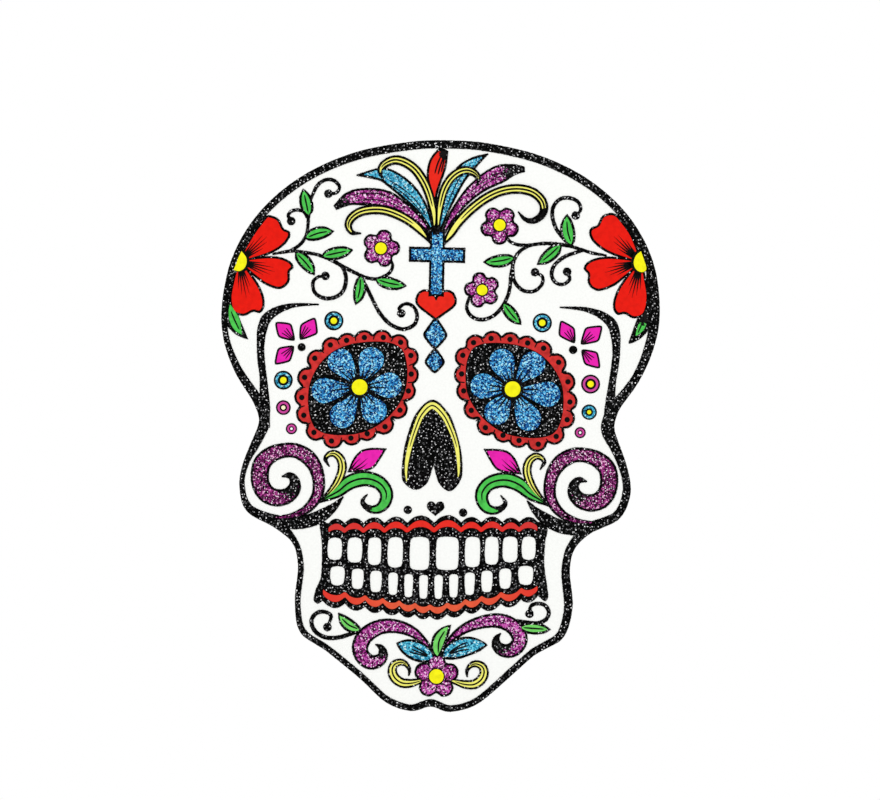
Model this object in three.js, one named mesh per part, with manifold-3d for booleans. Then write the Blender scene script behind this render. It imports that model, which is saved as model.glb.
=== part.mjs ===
// A sugar skull wall decoration: one die-cut laminated card with a raised printed face.
// Millimetres, +Z up, +X to the viewer's right. The back lies on y = 0 and the face looks towards -Y.
// The print is built up in layers: black glitter grounds on the card, then colours on the grounds.

import * as THREE from "three";
import { mergeVertices } from "three/addons/utils/BufferGeometryUtils.js";
import Module from "manifold-3d";

const wasm = await Module();
wasm.setup();

// Layers, from the wall to the viewer
const SHEET_THICKNESS = 0.3;
const CORE_THICKNESS = 2.4;
const GROUND_THICKNESS = 0.4;
const INK_THICKNESS = 0.3;

// Margins of the print
const KEYLINE = 1.1; // black left showing round a colour
const CLEARANCE = 0.3; // bare card between two grounds
const TRIM = 0.3; // bare card between the cut edge and the border
const LEAST_INK = 0.5; // narrowest line a colour is printed at

// Fineness of the curves
const CHORD_ERROR = 0.3; // how far a chord may pass from the curve
const STEPS = 14; // samples of a curve between two of its points
const CORNER_STEPS = 2; // chords round one corner
const SCALLOP_STEPS = 4; // chords round one scallop
const WELD = 1e-4; // corners closer than this are one corner
const SHARPEST_MITRE = 0.5; // limits how far a sharp corner moves when its loop is grown
const SWALLOWED = 0.95; // a grown corner nearer than this share of the growth is left out
const TIGHTEST = 0.9; // share of the radius of a turn that a stroke may fill on its inside

// Skull outline: the crown is a leaning superellipse that ends at the widest row of the sides
const HEAD_LEFT = 135;
const HEAD_RIGHT = 136.8;
const CROWN_Z = 177;
const CROWN_LEAN = 5; // how far the top lies to the right of the middle
const CROWN_POWER_LEFT = 2.15;
const CROWN_POWER_RIGHT = 2.1;
const CROWN_BAND_TOP = 4.8; // width of the border at the top, and at the temples
const CROWN_BAND_LEFT = 3.6;
const CROWN_BAND_RIGHT = 4.1;
const CROWN_POINTS = 5;
// Down the sides: reach to the left, reach to the right, z, border width on the left, on the right
const SIDES = [
  [HEAD_LEFT, HEAD_RIGHT, 70, 3.4, 6],
  [133.3, 133.4, 50, 3.4, 5.6],
  [125.7, 124.9, 30, 4.6, 5],
  [114.3, 113.1, 12, 6, 6.5],
  [110.4, 110.3, 1, 6.6, 8],
  [114, 114.4, -11, 5.4, 6],
  [119.4, 119.2, -25, 3.4, 4.7],
  [121.7, 121.2, -39, 3, 4.7],
  [117.4, 115.1, -55, 4.5, 5],
  [99.5, 96, -65.6, 6, 6.2],
  [87.9, 87.2, -75, 3.4, 4.8],
  [84.3, 84.6, -88, 3.3, 4.9],
  [85.7, 86.8, -111, 3.3, 5.1],
  [82, 81.3, -130, 3.4, 4.6],
  [65.5, 63.5, -141.5, 3.4, 4],
  [45, 46.2, -157.5, 3.4, 3.8],
  [26.5, 27.3, -173.2, 3.6, 3.6],
  [11.5, 11.5, -177.5, 3.8, 3.8],
  [4.5, 4.5, -175.8, 4.2, 4.2],
];
const CHIN_NOTCH = [0, -174.5, 4.4];

// Lines that grow out of the border: x, z, width along each stroke of the right side. The left side mirrors
// them, and its brow line lies a little lower.
const BROW_DROP = [0, -1.5];
const BROW_LINE = [
  [106.5, -2, 6], [106.6, 8, 6.2], [107.6, 22, 5.3], [108.2, 30, 4.4], [109.8, 40, 4.2], [110.2, 50, 4.6],
  [109.6, 58.3, 5.6], [107, 65.4, 6], [100.5, 70.6, 4.6], [90.2, 74, 2.5], [74.8, 74.9, 0.7],
];
const CHEEKBONE_LINE = [
  [110, -57.5, 5], [97, -61.5, 7], [86, -62.4, 7.6], [76, -60.2, 8], [68, -56, 7], [61.8, -51, 4],
  [57, -45.5, 0.6],
];

// Left eye; the right eye is its mirror image, shifted
const EYE_SHIFT = [-1.8, 0.8];
const EYE_MIDDLE = [-48.3, 22.7];
// Every 45 degrees from the nose side upwards
const SOCKET_RADII = [28.5, 35, 27.5, 27.6, 31, 37.2, 28.5, 25.5];
// Middles of the scallops of the rim, anticlockwise
const EYE_SCALLOPS = [
  [-16.5, 31.5], [-17, 43], [-23.5, 51], [-34.3, 53.8], [-46, 53.5], [-57, 51.5], [-67, 48.5], [-76.5, 40],
  [-82.5, 28], [-84, 15.5], [-82.5, 4.5], [-76, -6], [-65, -11], [-53, -9], [-43, -6], [-32, -1.5],
  [-23, 9], [-18, 21],
];
const EYE_SCALLOP_RADIUS = 6.6;
const EYE_SCALLOP_INSET = 2.1; // from the middle of a scallop to the middle of its circle
const EYE_PETALS = [[5, 26.3], [68, 26.4], [128, 28], [187, 30], [240, 28.6], [303, 25.2]]; // degrees, reach
const EYE_PETAL_RADIUS = 8;
const EYE_HUB_RADIUS = 7;
const EYE_CENTRE_RADIUS = 5.1;

// Nose and lip
const NOSE = [
  [-3, 15.8], [6.5, 8.5], [12.5, -5], [16, -20], [15.6, -33], [9, -40.5], [2.5, -36], [-0.5, -27],
  [-1.5, -24.2], [-2.4, -27], [-5.5, -36], [-12.5, -40], [-20, -35], [-20.6, -22], [-17.5, -5], [-12, 8.5],
];
const LIP_HEART = { x: 0.4, notch: -49.3, tip: -56, half: 5.3, lobe: 2 };

// Mouth: each row follows a soft V, mid + tilt x + slope (hypot(x, soft) - soft)
const GUM_LINE_TOP = { mid: -60.4, tilt: 0.028 };
const GUM_LINE_BOTTOM = { mid: -118, tilt: 0.045, slope: 0.18, soft: 5 };
const UPPER_TEETH_TOP = { mid: -69, tilt: 0.028 };
const UPPER_TEETH_BOTTOM = { mid: -90, tilt: 0.026, slope: 0.138, soft: 15 };
const LOWER_TEETH_TOP = { mid: -92.6, tilt: 0.026, slope: 0.122, soft: 15 };
const LOWER_TEETH_BOTTOM = { mid: -107.8, tilt: 0.028, slope: 0.188, soft: 15 };
// Teeth: left edge, width
const UPPER_TEETH = [
  [-66, 9], [-53.7, 9.2], [-41, 8.3], [-28.7, 9.4], [-15, 12.2], [1.3, 14], [19.2, 9.4], [31.5, 8.5],
  [42.5, 9.3], [54.3, 8.7],
];
const LOWER_TEETH = [
  [-64.5, 10], [-51.1, 8.2], [-39.6, 8], [-28.2, 6.5], [-18.3, 6], [-9, 6], [0.4, 5.7], [9.5, 6.2],
  [19.1, 6.9], [29.3, 7.7], [40.4, 8.2], [52, 10.3],
];
const TOOTH_CORNER = 4;
const TOOTH_TAPER = 0.1; // share of a lower tooth's width that its foot draws in on each side
const UPPER_SCALLOPS = { from: -66, widths: [10.2, 11.8, 13, 14, 16.7, 16.8, 12.5, 13, 10.5, 11.5] };
const LOWER_SCALLOPS = {
  from: -68.5,
  widths: [14, 12.5, 11, 10.2, 9.8, 9.2, 10.6, 11.2, 10, 12, 12.5, 10.5],
};
const SCALLOP_RISE = 0.27; // height of a mouth scallop over its width
const GUM_RISE = 0.2; // the same on the tooth side of a gum
const UPPER_GUM_DROP = 2.4; // black between the edge of the mouth and the gum
const UPPER_GUM_HEIGHT = 3.9;
const LOWER_GUM_DROP = 3.2;
const LOWER_GUM_HEIGHT = 4.2;
const MOUTH_LEFT = [
  [-68.5, -110], [-71.4, -112], [-73.7, -110], [-72.5, -103], [-70, -97], [-69.2, -88], [-69.4, -76],
  [-71.6, -60],
];
const MOUTH_RIGHT = [
  [70.2, -58], [68.6, -72], [68.4, -85], [70.2, -97], [71.3, -104], [69.8, -107.4], [65, -104],
];

// Flowers: x, z, radius of a petal, its distance from the middle, degrees of the first petal
const PETALS_PER_FLOWER = 5;
const LEFT_FLOWER = { x: -37, z: 109, petal: 5.2, out: 6.6, turn: 75 };
const RIGHT_UPPER_FLOWER = { x: 36.3, z: 125, petal: 5.3, out: 6.8, turn: 54 };
const RIGHT_LOWER_FLOWER = { x: 26.3, z: 84.5, petal: 4.9, out: 6.3, turn: 33 };
const CHIN_FLOWER = { x: 3.2, z: -155.5, petal: 6.1, out: 7.9, turn: 90 };

// Temple flowers: three notched petals fan from a middle under the border
const TEMPLE_LEFT = { x: -124.5, z: 99 };
const TEMPLE_RIGHT = { x: 124, z: 104 };
// Degrees, reach, width, and how far the notch lies off the middle as a share of half the width
const TEMPLE_PETALS_LEFT = [[43, 35.5, 21.5, -0.3], [-15.3, 33, 19.2, 0.3], [-78, 33.6, 21.3, 0.25]];
const TEMPLE_PETALS_RIGHT = [[42.6, 36.7, 22.4, -0.17], [-17.8, 34.7, 20, 0.22], [-78, 34.9, 21.2, 0.2]];
const TEMPLE_MIDDLE_RADIUS = 6.5;
const TEMPLE_LEAVES = {
  left: { base: [-130, 78], tip: [-118.2, 51], width: 9, bend: -4.5 },
  right: { base: [128, 79], tip: [117.6, 53.2], width: 9, bend: 3.6 },
};

// Vines: x, z, width along each stem, then leaves from base to tip, then the dots that end the curls.
// A leaf with a bend has its middle that far to the left of the line from base to tip.
const LEFT_STEMS = [
  [[-104, 104, 1], [-92, 106.3, 1.8], [-85, 105.8, 1.8], [-72, 103, 1.9], [-56, 95, 2], [-45, 90.5, 2],
    [-38, 90.2, 1.9], [-31, 94.5, 1.8], [-29.5, 99, 1.6], [-31, 103, 1.4]],
  [[-93, 106.5, 1.6], [-88, 109.5, 1.8], [-83.5, 116, 1.8], [-82.2, 129, 1.8]],
  [[-83, 127, 1.6], [-85, 130.5, 1.9], [-89, 131.7, 1.9], [-93, 130.8, 1.8], [-95, 128, 1.6],
    [-93, 124.7, 1.6]],
  [[-82, 136, 1.5], [-79.8, 142, 1.8], [-76.5, 148, 2], [-71, 151, 2], [-66, 149.8, 2], [-63.5, 146, 1.8],
    [-65.5, 142.8, 1.7], [-70.3, 142.2, 1.6]],
  [[-65, 100.5, 1.6], [-60, 96, 2], [-58.2, 89, 2.2], [-60, 82, 2.2], [-65, 78, 2.2], [-72, 77.5, 2.2],
    [-77.5, 81, 2], [-78.6, 87, 1.9], [-76, 90.3, 1.7], [-71, 91.2, 1.6]],
  [[-50, 92, 1.6], [-46, 86, 2], [-41.5, 77, 2], [-36.5, 68.5, 2.1], [-30, 62, 2.2], [-22, 59.3, 2.2],
    [-15.5, 62, 2.1], [-13.6, 67.5, 2], [-16, 73.3, 1.9], [-21, 75, 1.8], [-25, 72, 1.6], [-23.5, 69, 1.5]],
];
const LEFT_LEAVES = [
  { base: [-82, 128], tip: [-86, 145], width: 8.2 },
  { base: [-84, 114], tip: [-66.3, 119], width: 8.2, bend: 1.2 },
  { base: [-90, 105.4], tip: [-77.6, 91.5], width: 8, bend: 0.7 },
  { base: [-73.5, 103.3], tip: [-54, 107.8], width: 8 },
  { base: [-49.5, 92], tip: [-52, 73.5], width: 7.8, bend: 1.2 },
  { base: [-40, 90], tip: [-20.5, 86], width: 7.8, bend: -0.7 },
];
const LEFT_DOTS = [[-93, 124.7], [-70.3, 142.2], [-71, 91.2], [-23.5, 69]];
const RIGHT_STEMS = [
  [[103, 107.6, 1], [94, 109, 1.8], [80, 113, 1.9], [65, 114.3, 2], [52, 112.8, 1.9], [44, 114.3, 1.8],
    [40, 118, 1.6]],
  [[88, 110.3, 1.6], [82, 108.5, 1.9], [75, 105, 2.1], [70, 99.5, 2.1], [69.3, 94, 2.1], [72, 90, 2],
    [76.5, 89.2, 1.9], [80.5, 92.5, 1.7], [78.7, 97, 1.6]],
  [[82, 112.5, 1.6], [77.5, 116, 1.9], [72, 122.5, 2], [69, 130, 2.1], [69.3, 137, 2.1], [73.5, 142, 2.1],
    [79, 142.8, 2.1], [84.5, 140.5, 2], [86.3, 135.5, 1.7], [83.3, 132, 1.6]],
  [[57, 113.2, 1.6], [50, 109.8, 1.9], [45.6, 103.5, 2.1], [45, 95.5, 2.1], [47, 89, 2.1], [52, 84.8, 2.1],
    [58, 84.4, 2], [63, 88.3, 1.9], [63.6, 93.5, 1.7], [58.8, 96.3, 1.6]],
  [[45.5, 103, 1.5], [44, 95, 1.9], [43.4, 86, 2], [40.5, 77, 2], [34, 69, 2.1], [27, 66.2, 2.1],
    [20.5, 67.8, 2.1], [17, 73, 1.9], [18.2, 79, 1.7], [20.5, 83.5, 1.6]],
];
const RIGHT_LEAVES = [
  { base: [81.5, 113.5], tip: [78, 132.7], width: 9, bend: 1.4 },
  { base: [74.5, 114], tip: [60, 101], width: 8, bend: 0.6 },
  { base: [46, 105.3], tip: [26.5, 101.8], width: 8, bend: 0.9 },
  { base: [39.5, 77], tip: [51, 63.5], width: 7.6, bend: -0.6 },
];
const RIGHT_DOTS = [[78.7, 97], [83.3, 132], [58.8, 96.3]];
const CURL_DOT_RADIUS = 2.5;

// Crest: cross, heart and two drops on one line, with feathers and plumes fanning from the cross
const CREST_X = -2.1;
const CROSS = { top: 121, bottom: 80, arm: 105.75, reach: 17.3, bar: 9.2 };
const CREST_HEART = { x: CREST_X, notch: 79.5, tip: 65, half: 12.8, lobe: 4.6 };
const UPPER_DROP = { top: 68, corner: 55.8, half: 8.2, bottom: 46.2 };
const LOWER_DROP = { top: 49, corner: 39.2, half: 7, bottom: 31.4 };
const DROP_CORNER = 3;
const RED_FEATHER = [
  [-3.5, 135, 0.8], [-4.6, 143, 3.6], [-4.8, 149, 7.4], [-4.4, 155, 10.2], [-2.8, 162.5, 11],
  [-0.7, 168, 8], [1.2, 171.3, 5],
];
const BLUE_FEATHER_LEFT = [
  [-4.5, 118, 1.5], [-7.5, 126, 4], [-14, 137, 8.2], [-23.5, 146.6, 11.2], [-35.7, 154.5, 9],
  [-45, 154.8, 4.8], [-53, 154, 0.6],
];
const BLUE_FEATHER_RIGHT = [
  [-1.5, 118, 1.5], [0.2, 126, 3.5], [3.8, 139, 7], [7.5, 149, 9], [13, 158, 9], [20, 164, 6],
  [28, 169, 0.6],
];
const PURPLE_FEATHER_LEFT = [
  [-5, 117, 1.5], [-12.5, 126, 4.5], [-22.3, 133.6, 6.8], [-33, 139.3, 10], [-45, 140.8, 10.8],
  [-57, 139.5, 8.4], [-66, 133.5, 3],
];
const PURPLE_FEATHER_RIGHT = [
  [0.5, 117, 1.5], [4.8, 126.5, 4.2], [11, 136.3, 6], [19, 145.6, 8.4], [27.8, 152.6, 10.4],
  [36.5, 157, 11], [44, 159.5, 7], [51, 160, 3.2],
];
const PLUMES = [
  [[-4, 118, 2], [-4.5, 130, 4.5], [-6, 137, 5.2], [-8.5, 145, 5.6], [-12, 152, 5.8], [-17, 158.5, 5.8],
    [-23, 162.5, 5.8], [-29, 164, 5.6], [-34, 162.5, 5.2], [-37.5, 159.5, 4.4], [-38.3, 155.5, 3],
    [-36, 151, 0.8]],
  [[-2, 118, 2], [-1.5, 130, 4.2], [-0.5, 138, 5.2], [1.5, 146, 5.6], [5, 152.5, 5.6], [10, 157, 5.6],
    [15, 158.5, 5.4], [19, 157.5, 4.8], [22, 155, 3.8], [22.5, 152, 2.4], [21, 149, 0.6]],
  [[-6, 113, 1.5], [-13, 121, 5], [-20, 126.5, 5.6], [-28, 130.5, 5.8], [-36, 132.8, 5.8],
    [-44, 132.8, 5.8], [-51, 131, 5.6], [-56, 127, 5.2], [-57.5, 122.5, 4.4], [-55, 118.5, 3],
    [-49.5, 118, 0.6]],
  [[1.5, 112, 1.5], [6, 119, 5], [11, 126.5, 5.6], [18, 134, 5.8], [26, 140.5, 5.8], [34, 145, 5.8],
    [42, 147.3, 5.8], [50, 147.5, 5.8], [57, 145.5, 5.6], [62, 141, 5.4], [63.6, 136, 5], [62, 131.5, 4.4],
    [57, 128.2, 3.6], [52, 129, 2.4], [47.6, 133.5, 0.6]],
];

// Cheeks: x, z, width along the strokes of the left cheek; the right cheek is its mirror image, shifted
const CHEEK_SHIFT = [-1.4, 1];
const CHEEK_SPIRAL = [
  [-100, -59, 1], [-90, -58.5, 3.4], [-82, -55.5, 5], [-76, -50, 6.2], [-72.6, -43, 7.2], [-72.5, -35, 7.6],
  [-75, -27, 8.6], [-80, -21, 9.4], [-87, -17.6, 9], [-94, -17.5, 9], [-102, -20.2, 10],
  [-107.5, -25.5, 10.8], [-109, -32, 11], [-108, -39.5, 11], [-104, -45, 11], [-98, -47, 10.5],
  [-91.5, -45.5, 9.5], [-87.5, -41, 8], [-87.5, -36, 6], [-90.5, -33, 4], [-95.3, -33.8, 0.6],
];
const CHEEK_SPRIG = [
  [-72, -48.5, 1.6], [-68.5, -46, 2.6], [-65, -42.5, 3.8], [-61, -37, 5], [-58.5, -31, 5.4],
  [-58, -26, 5.4], [-59.5, -21.5, 5], [-63, -18.8, 4.4], [-66.5, -19.5, 3.4], [-68.6, -22.5, 2.2],
  [-66, -27, 0.6],
];
const CHEEK_SWOOSH = [
  [-72, -49, 1.6], [-66, -45.5, 5], [-60, -42, 7.4], [-54, -37, 9], [-47, -34.2, 9.4], [-40, -34.3, 9],
  [-34, -37, 8.6], [-30.5, -42, 8.2], [-30.5, -47, 7.6], [-33.5, -51.5, 6.4], [-38, -53, 5],
  [-42.5, -51.5, 3.6], [-45, -48, 2.4], [-42, -43.5, 0.5],
];
// From the base along the lower edge to the tip, then back along the upper edge
const CHEEK_BUD = {
  lower: [[-54.6, -30.2], [-45, -29.4], [-38.8, -27.2], [-34.6, -21.5], [-30.8, -15]],
  upper: [[-30.8, -15], [-39.5, -14.9], [-46.5, -16.6], [-51.5, -22.5], [-54.6, -30.2]],
};

// Chin: scrolls, leaves, hooks and curls round the chin flower
const CHIN_SCROLL_LEFT = [
  [3, -143, 1.5], [-1, -138, 2.5], [-6, -133, 4.5], [-12, -128.5, 6.5], [-20, -125.5, 8], [-29, -125, 9],
  [-36.5, -127.5, 9.6], [-42, -132, 10], [-44.5, -138, 10], [-43, -144, 9.4], [-38, -147.6, 9],
  [-33, -146.6, 8], [-30.3, -143, 6.4], [-31.5, -138.5, 3.6], [-35, -136.5, 0.6],
];
const CHIN_SCROLL_RIGHT = [
  [5, -143, 1.5], [8, -137, 2.5], [14, -130, 4.5], [22, -124.5, 6.5], [32, -121, 8], [41, -120.2, 9],
  [48.5, -122.7, 9.6], [53.5, -128, 10], [54, -133.5, 9.4], [50, -138, 9], [44.5, -138.6, 8],
  [40.3, -135.4, 6.4], [40, -131, 3.6], [42.5, -128, 0.6],
];
const CHIN_LEAVES = [
  { base: [4.5, -144], tip: [11.5, -123.4], width: 9, bend: 3.5 },
  { base: [1, -144.5], tip: [-22, -135.5], width: 12.5, bend: -0.5 },
  { base: [7, -144], tip: [34.5, -135.5], width: 12.5, bend: 3 },
  { base: [-44, -127.5], tip: [-58.5, -117.5], width: 7.6, bend: 2.2 },
  { base: [54, -124], tip: [73.5, -125], width: 7.4 },
];
// The hook runs left from the flower; the right one is its mirror image about the hook line
const CHIN_HOOK_LINE = 4.2;
const CHIN_HOOK = [
  [-2, -157.5, 2], [-6.5, -158.5, 3.6], [-12, -160, 5], [-18, -160, 5.8], [-22.5, -157, 6],
  [-24.3, -152.5, 5.6], [-23, -148.8, 5], [-19, -147.2, 4.2], [-15.5, -148.7, 3], [-13.6, -152, 2],
  [-14, -155.5, 0.6],
];
const CHIN_CURLS = [
  [[-44, -128, 1.6], [-52, -131, 2.2], [-60, -133, 2.4], [-67, -132.6, 2.4], [-73, -128.7, 2.4],
    [-75, -123, 2.4], [-72.5, -118.3, 2.3], [-67.5, -117, 2.2], [-63, -119.2, 1.9], [-65, -126.5, 1.6]],
  [[52, -120, 1.8], [60, -121, 2.2], [66, -121, 2.3], [70.5, -118.5, 2.3], [72, -114.5, 2.2],
    [70, -110.5, 2.2], [65.5, -109, 2.1], [61, -110.5, 1.9], [60, -115.5, 1.6]],
];
const CHIN_DOTS = [[-65, -126.5], [60, -115.5]];

// Brow petals: four corners each, from the tip by the eye round to the far corner and back
const BROW_PETALS = {
  left_brow_petal_inner: [[-86.5, 50.5], [-86.2, 61], [-76.5, 66], [-74.6, 55]],
  left_brow_petal_outer: [[-88.5, 50], [-91.3, 61.5], [-102, 62.3], [-99.7, 52.3]],
  left_brow_petal_lower: [[-88.8, 48], [-99.7, 46.2], [-101.8, 35], [-91.3, 37.5]],
  right_brow_petal_inner: [[85, 52], [84.5, 62.5], [75, 67.5], [74, 57]],
  right_brow_petal_outer: [[87.5, 51.5], [90.5, 63], [101.8, 64.5], [99.6, 54]],
  right_brow_petal_lower: [[88, 49.5], [99, 48], [101, 37], [90.5, 39.5]],
};
const BROW_CORNER = 2.4;

// Rings beside the eyes: x, z, radius, colour
const RINGS = {
  left_ring_top: [-65.2, 63.5, 6, "blue_glitter"],
  left_ring_upper: [-95.7, 26, 5.9, "blue_glitter"],
  left_ring_middle: [-95.3, 9, 4.6, "pink_ink"],
  left_ring_lower: [-90, -4, 3.5, "pink_ink"],
  right_ring_top: [64, 65, 6, "blue_glitter"],
  right_ring_upper: [94.8, 27.7, 5.9, "pink_ink"],
  right_ring_middle: [94.3, 10.3, 4.7, "blue_glitter"],
  right_ring_lower: [89, -2.5, 3.5, "pink_ink"],
};

// Colours
const COLOURS = {
  core_card: 0xb9b3a6,
  white_sheet: 0xf7f8f5,
  back_sheet: 0xdcdad3,
  black_glitter: 0x101010,
  blue_glitter: 0x2f86c6,
  purple_glitter: 0x9a2f9c,
  red_ink: 0xf02a1c,
  orange_ink: 0xee5434,
  green_ink: 0x3fc44c,
  yellow_ink: 0xfdf03a,
  pink_ink: 0xea2fb6,
};

// Levels of the layers above the back
const CORE_FROM = SHEET_THICKNESS;
const FRONT_FROM = CORE_FROM + CORE_THICKNESS;
const GROUND_FROM = FRONT_FROM + SHEET_THICKNESS;
const INK_FROM = GROUND_FROM + GROUND_THICKNESS;
const TOP_INK_FROM = INK_FROM + INK_THICKNESS;
const CUT_FROM = -1; // cutters run right through the layers
const CUT_TO = TOP_INK_FROM + INK_THICKNESS + 1;

// Curves

const radians = THREE.MathUtils.degToRad;
const flat = ([x, z]) => new THREE.Vector2(x, z);
const polar = (x, z, radius, angle) => flat([x + radius * Math.cos(angle), z + radius * Math.sin(angle)]);
const mirrored = (route, line = 0) => route.map(([x, ...rest]) => [2 * line - x, ...rest]);
const shifted = (route, [dx, dz]) => route.map(([x, z, ...rest]) => [x + dx, z + dz, ...rest]);

// The points that a chord would miss by more than CHORD_ERROR, with both ends.
function thin(points) {
  const first = points[0];
  const last = points.at(-1);
  const chord = new THREE.Line3(new THREE.Vector3(first.x, first.y), new THREE.Vector3(last.x, last.y));
  const foot = new THREE.Vector3();
  let worst = 0;
  let far = 0;
  points.forEach((p, i) => {
    const spot = new THREE.Vector3(p.x, p.y);
    const miss = chord.closestPointToPoint(spot, true, foot).distanceTo(spot);
    if (miss > worst) {
      worst = miss;
      far = i;
    }
  });
  if (worst <= CHORD_ERROR) return [first, last];
  return [...thin(points.slice(0, far + 1)), ...thin(points.slice(far)).slice(1)];
}

// The same for a closed loop, worked in two halves.
function thinLoop(points) {
  const half = Math.floor(points.length / 2);
  return [...thin(points.slice(0, half + 1)), ...thin([...points.slice(half), points[0]]).slice(1, -1)];
}

// A smooth curve through x, z points; a third number, the width there, rides along.
function curveThrough(route, closed = false) {
  const points = route.map(([x, z, width = 0]) => new THREE.Vector3(x, z, width));
  return new THREE.CatmullRomCurve3(points, closed, "centripetal");
}

// The chords of a smooth closed loop through x, z points.
function smoothLoop(route) {
  const points = curveThrough(route, true).getPoints(route.length * STEPS).slice(0, -1);
  return thinLoop(points.map(({ x, y }) => flat([x, y])));
}

// The chords of a smooth open line through x, z points.
function smoothLine(route) {
  return thin(curveThrough(route).getPoints(route.length * STEPS).map(({ x, y }) => flat([x, y])));
}

// Points across a curve at one place: the middle moved to its left by a distance.
function beside(curve, t, distance) {
  const middle = curve.getPoint(t);
  const ahead = curve.getTangent(t);
  const step = distance / Math.hypot(ahead.x, ahead.y);
  return flat([middle.x - ahead.y * step, middle.y + ahead.x * step]);
}

// How far a spot lies from a loop of chords.
function distanceTo(loop, spot) {
  const at = new THREE.Vector3(spot.x, spot.y);
  const foot = new THREE.Vector3();
  const misses = loop.map((p, i) => {
    const next = loop[(i + 1) % loop.length];
    const chord = new THREE.Line3(new THREE.Vector3(p.x, p.y), new THREE.Vector3(next.x, next.y));
    return chord.closestPointToPoint(at, true, foot).distanceTo(at);
  });
  return Math.min(...misses);
}

// A loop moved outwards by grow, each corner along its mitre, without the corners that a notch swallows.
function offsetLoop(loop, grow) {
  if (grow === 0) return loop;
  const points = THREE.ShapeUtils.area(loop) < 0 ? [...loop].reverse() : loop;
  const moved = points.map((p, i) => {
    const before = p.clone().sub(points.at(i - 1)).normalize();
    const after = points[(i + 1) % points.length].clone().sub(p).normalize();
    const mitre = new THREE.Vector2(before.y + after.y, -before.x - after.x);
    const share = Math.max(mitre.lengthSq() / 2, SHARPEST_MITRE);
    return p.clone().addScaledVector(mitre, grow / share);
  });
  return moved.filter((p) => distanceTo(points, p) > SWALLOWED * Math.abs(grow));
}

// Motifs: each is a function of grow that gives its flat shapes, grown all round by that much

const motif = (...parts) => (grow) => parts.flatMap((part) => part(grow));
const outline = (loop) => (grow) => [new THREE.Shape(offsetLoop(loop, grow))];

// A brush stroke along x, z, width points; where it is narrower than the ink can print, it stops.
// On the inside of a tight turn its edge stays short of the middle of the turn.
function stroke(route) {
  const curve = curveThrough(route);
  const count = route.length * STEPS;
  const places = Array.from({ length: count + 1 }, (_, i) => i / count);
  const spots = places.map((t) => curve.getPoint(t));
  const bends = places.map((t, i) => {
    const step = 1 / count;
    const heading = (u) => {
      const ahead = curve.getTangent(THREE.MathUtils.clamp(u, 0, 1));
      return Math.atan2(ahead.y, ahead.x);
    };
    const turn = heading(t + step) - heading(t - step);
    const before = spots[Math.max(i - 1, 0)];
    const after = spots[Math.min(i + 1, count)];
    return Math.atan2(Math.sin(turn), Math.cos(turn)) / Math.hypot(after.x - before.x, after.y - before.y);
  });
  const reach = (i, sign, wanted) => {
    const inside = sign * bends[i] > 0;
    return inside ? Math.min(wanted, TIGHTEST / Math.abs(bends[i])) : wanted;
  };
  return (grow) => {
    const least = grow < 0 ? LEAST_INK / 2 : 0;
    const wanted = (i) => spots[i].z / 2 + grow;
    const inked = spots.map((spot, i) => i).filter((i) => wanted(i) >= least);
    const edge = (sign) => inked.map((i) => beside(curve, places[i], sign * reach(i, sign, wanted(i))));
    return [new THREE.Shape([...thin(edge(1)), ...thin(edge(-1).reverse())])];
  };
}

// A leaf: two bowed edges, blunt at the base, full width in the middle and drawn out to the tip.
function leaf({ base, tip, width, bend = 0 }) {
  const from = flat(base);
  const along = flat(tip).sub(from);
  const side = new THREE.Vector2(-along.y, along.x).normalize();
  const edge = (sign) => {
    const reach = (4 / 3) * (bend + (sign * width) / 2);
    const bow = (share) => from.clone().addScaledVector(along, share).addScaledVector(side, reach);
    return thin(new THREE.CubicBezierCurve(from, bow(0.1), bow(0.75), flat(tip)).getPoints(STEPS));
  };
  return outline([...edge(-1), ...edge(1).reverse().slice(1, -1)]);
}

function disc(x, z, radius) {
  return (grow) => {
    const size = radius + grow;
    const sides = Math.max(12, Math.ceil(Math.PI / Math.acos(1 - CHORD_ERROR / size)));
    const rim = Array.from({ length: sides }, (_, i) => polar(x, z, size, (i / sides) * 2 * Math.PI));
    return [new THREE.Shape(rim)];
  };
}

// A ring of round scallops about a loop of centres that runs anticlockwise.
function scallopLoop(centres, radius) {
  const cusp = (a, b) => {
    const gap = b.clone().sub(a);
    const height = Math.sqrt(Math.max(radius ** 2 - gap.lengthSq() / 4, 0));
    const out = new THREE.Vector2(gap.y, -gap.x).normalize();
    return a.clone().add(b).multiplyScalar(0.5).addScaledVector(out, height);
  };
  return (grow) => {
    const loop = centres.flatMap((centre, i) => {
      const next = centres[(i + 1) % centres.length];
      const from = cusp(centres.at(i - 1), centre).sub(centre).angle();
      const to = cusp(centre, next).sub(centre).angle();
      const sweep = THREE.MathUtils.euclideanModulo(to - from, 2 * Math.PI);
      const arc = Array.from({ length: SCALLOP_STEPS + 1 }, (_, k) => from + (sweep * k) / SCALLOP_STEPS);
      const rim = arc.map((angle) => polar(centre.x, centre.y, radius + grow, angle));
      return grow < 0 ? rim : rim.slice(0, -1);
    });
    return [new THREE.Shape(loop)];
  };
}

function flower({ x, z, petal, out, turn }) {
  const petals = Array.from({ length: PETALS_PER_FLOWER }, (_, i) => turn + (360 * i) / PETALS_PER_FLOWER);
  return scallopLoop(petals.map((degrees) => polar(x, z, out, radians(degrees))), petal);
}

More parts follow.
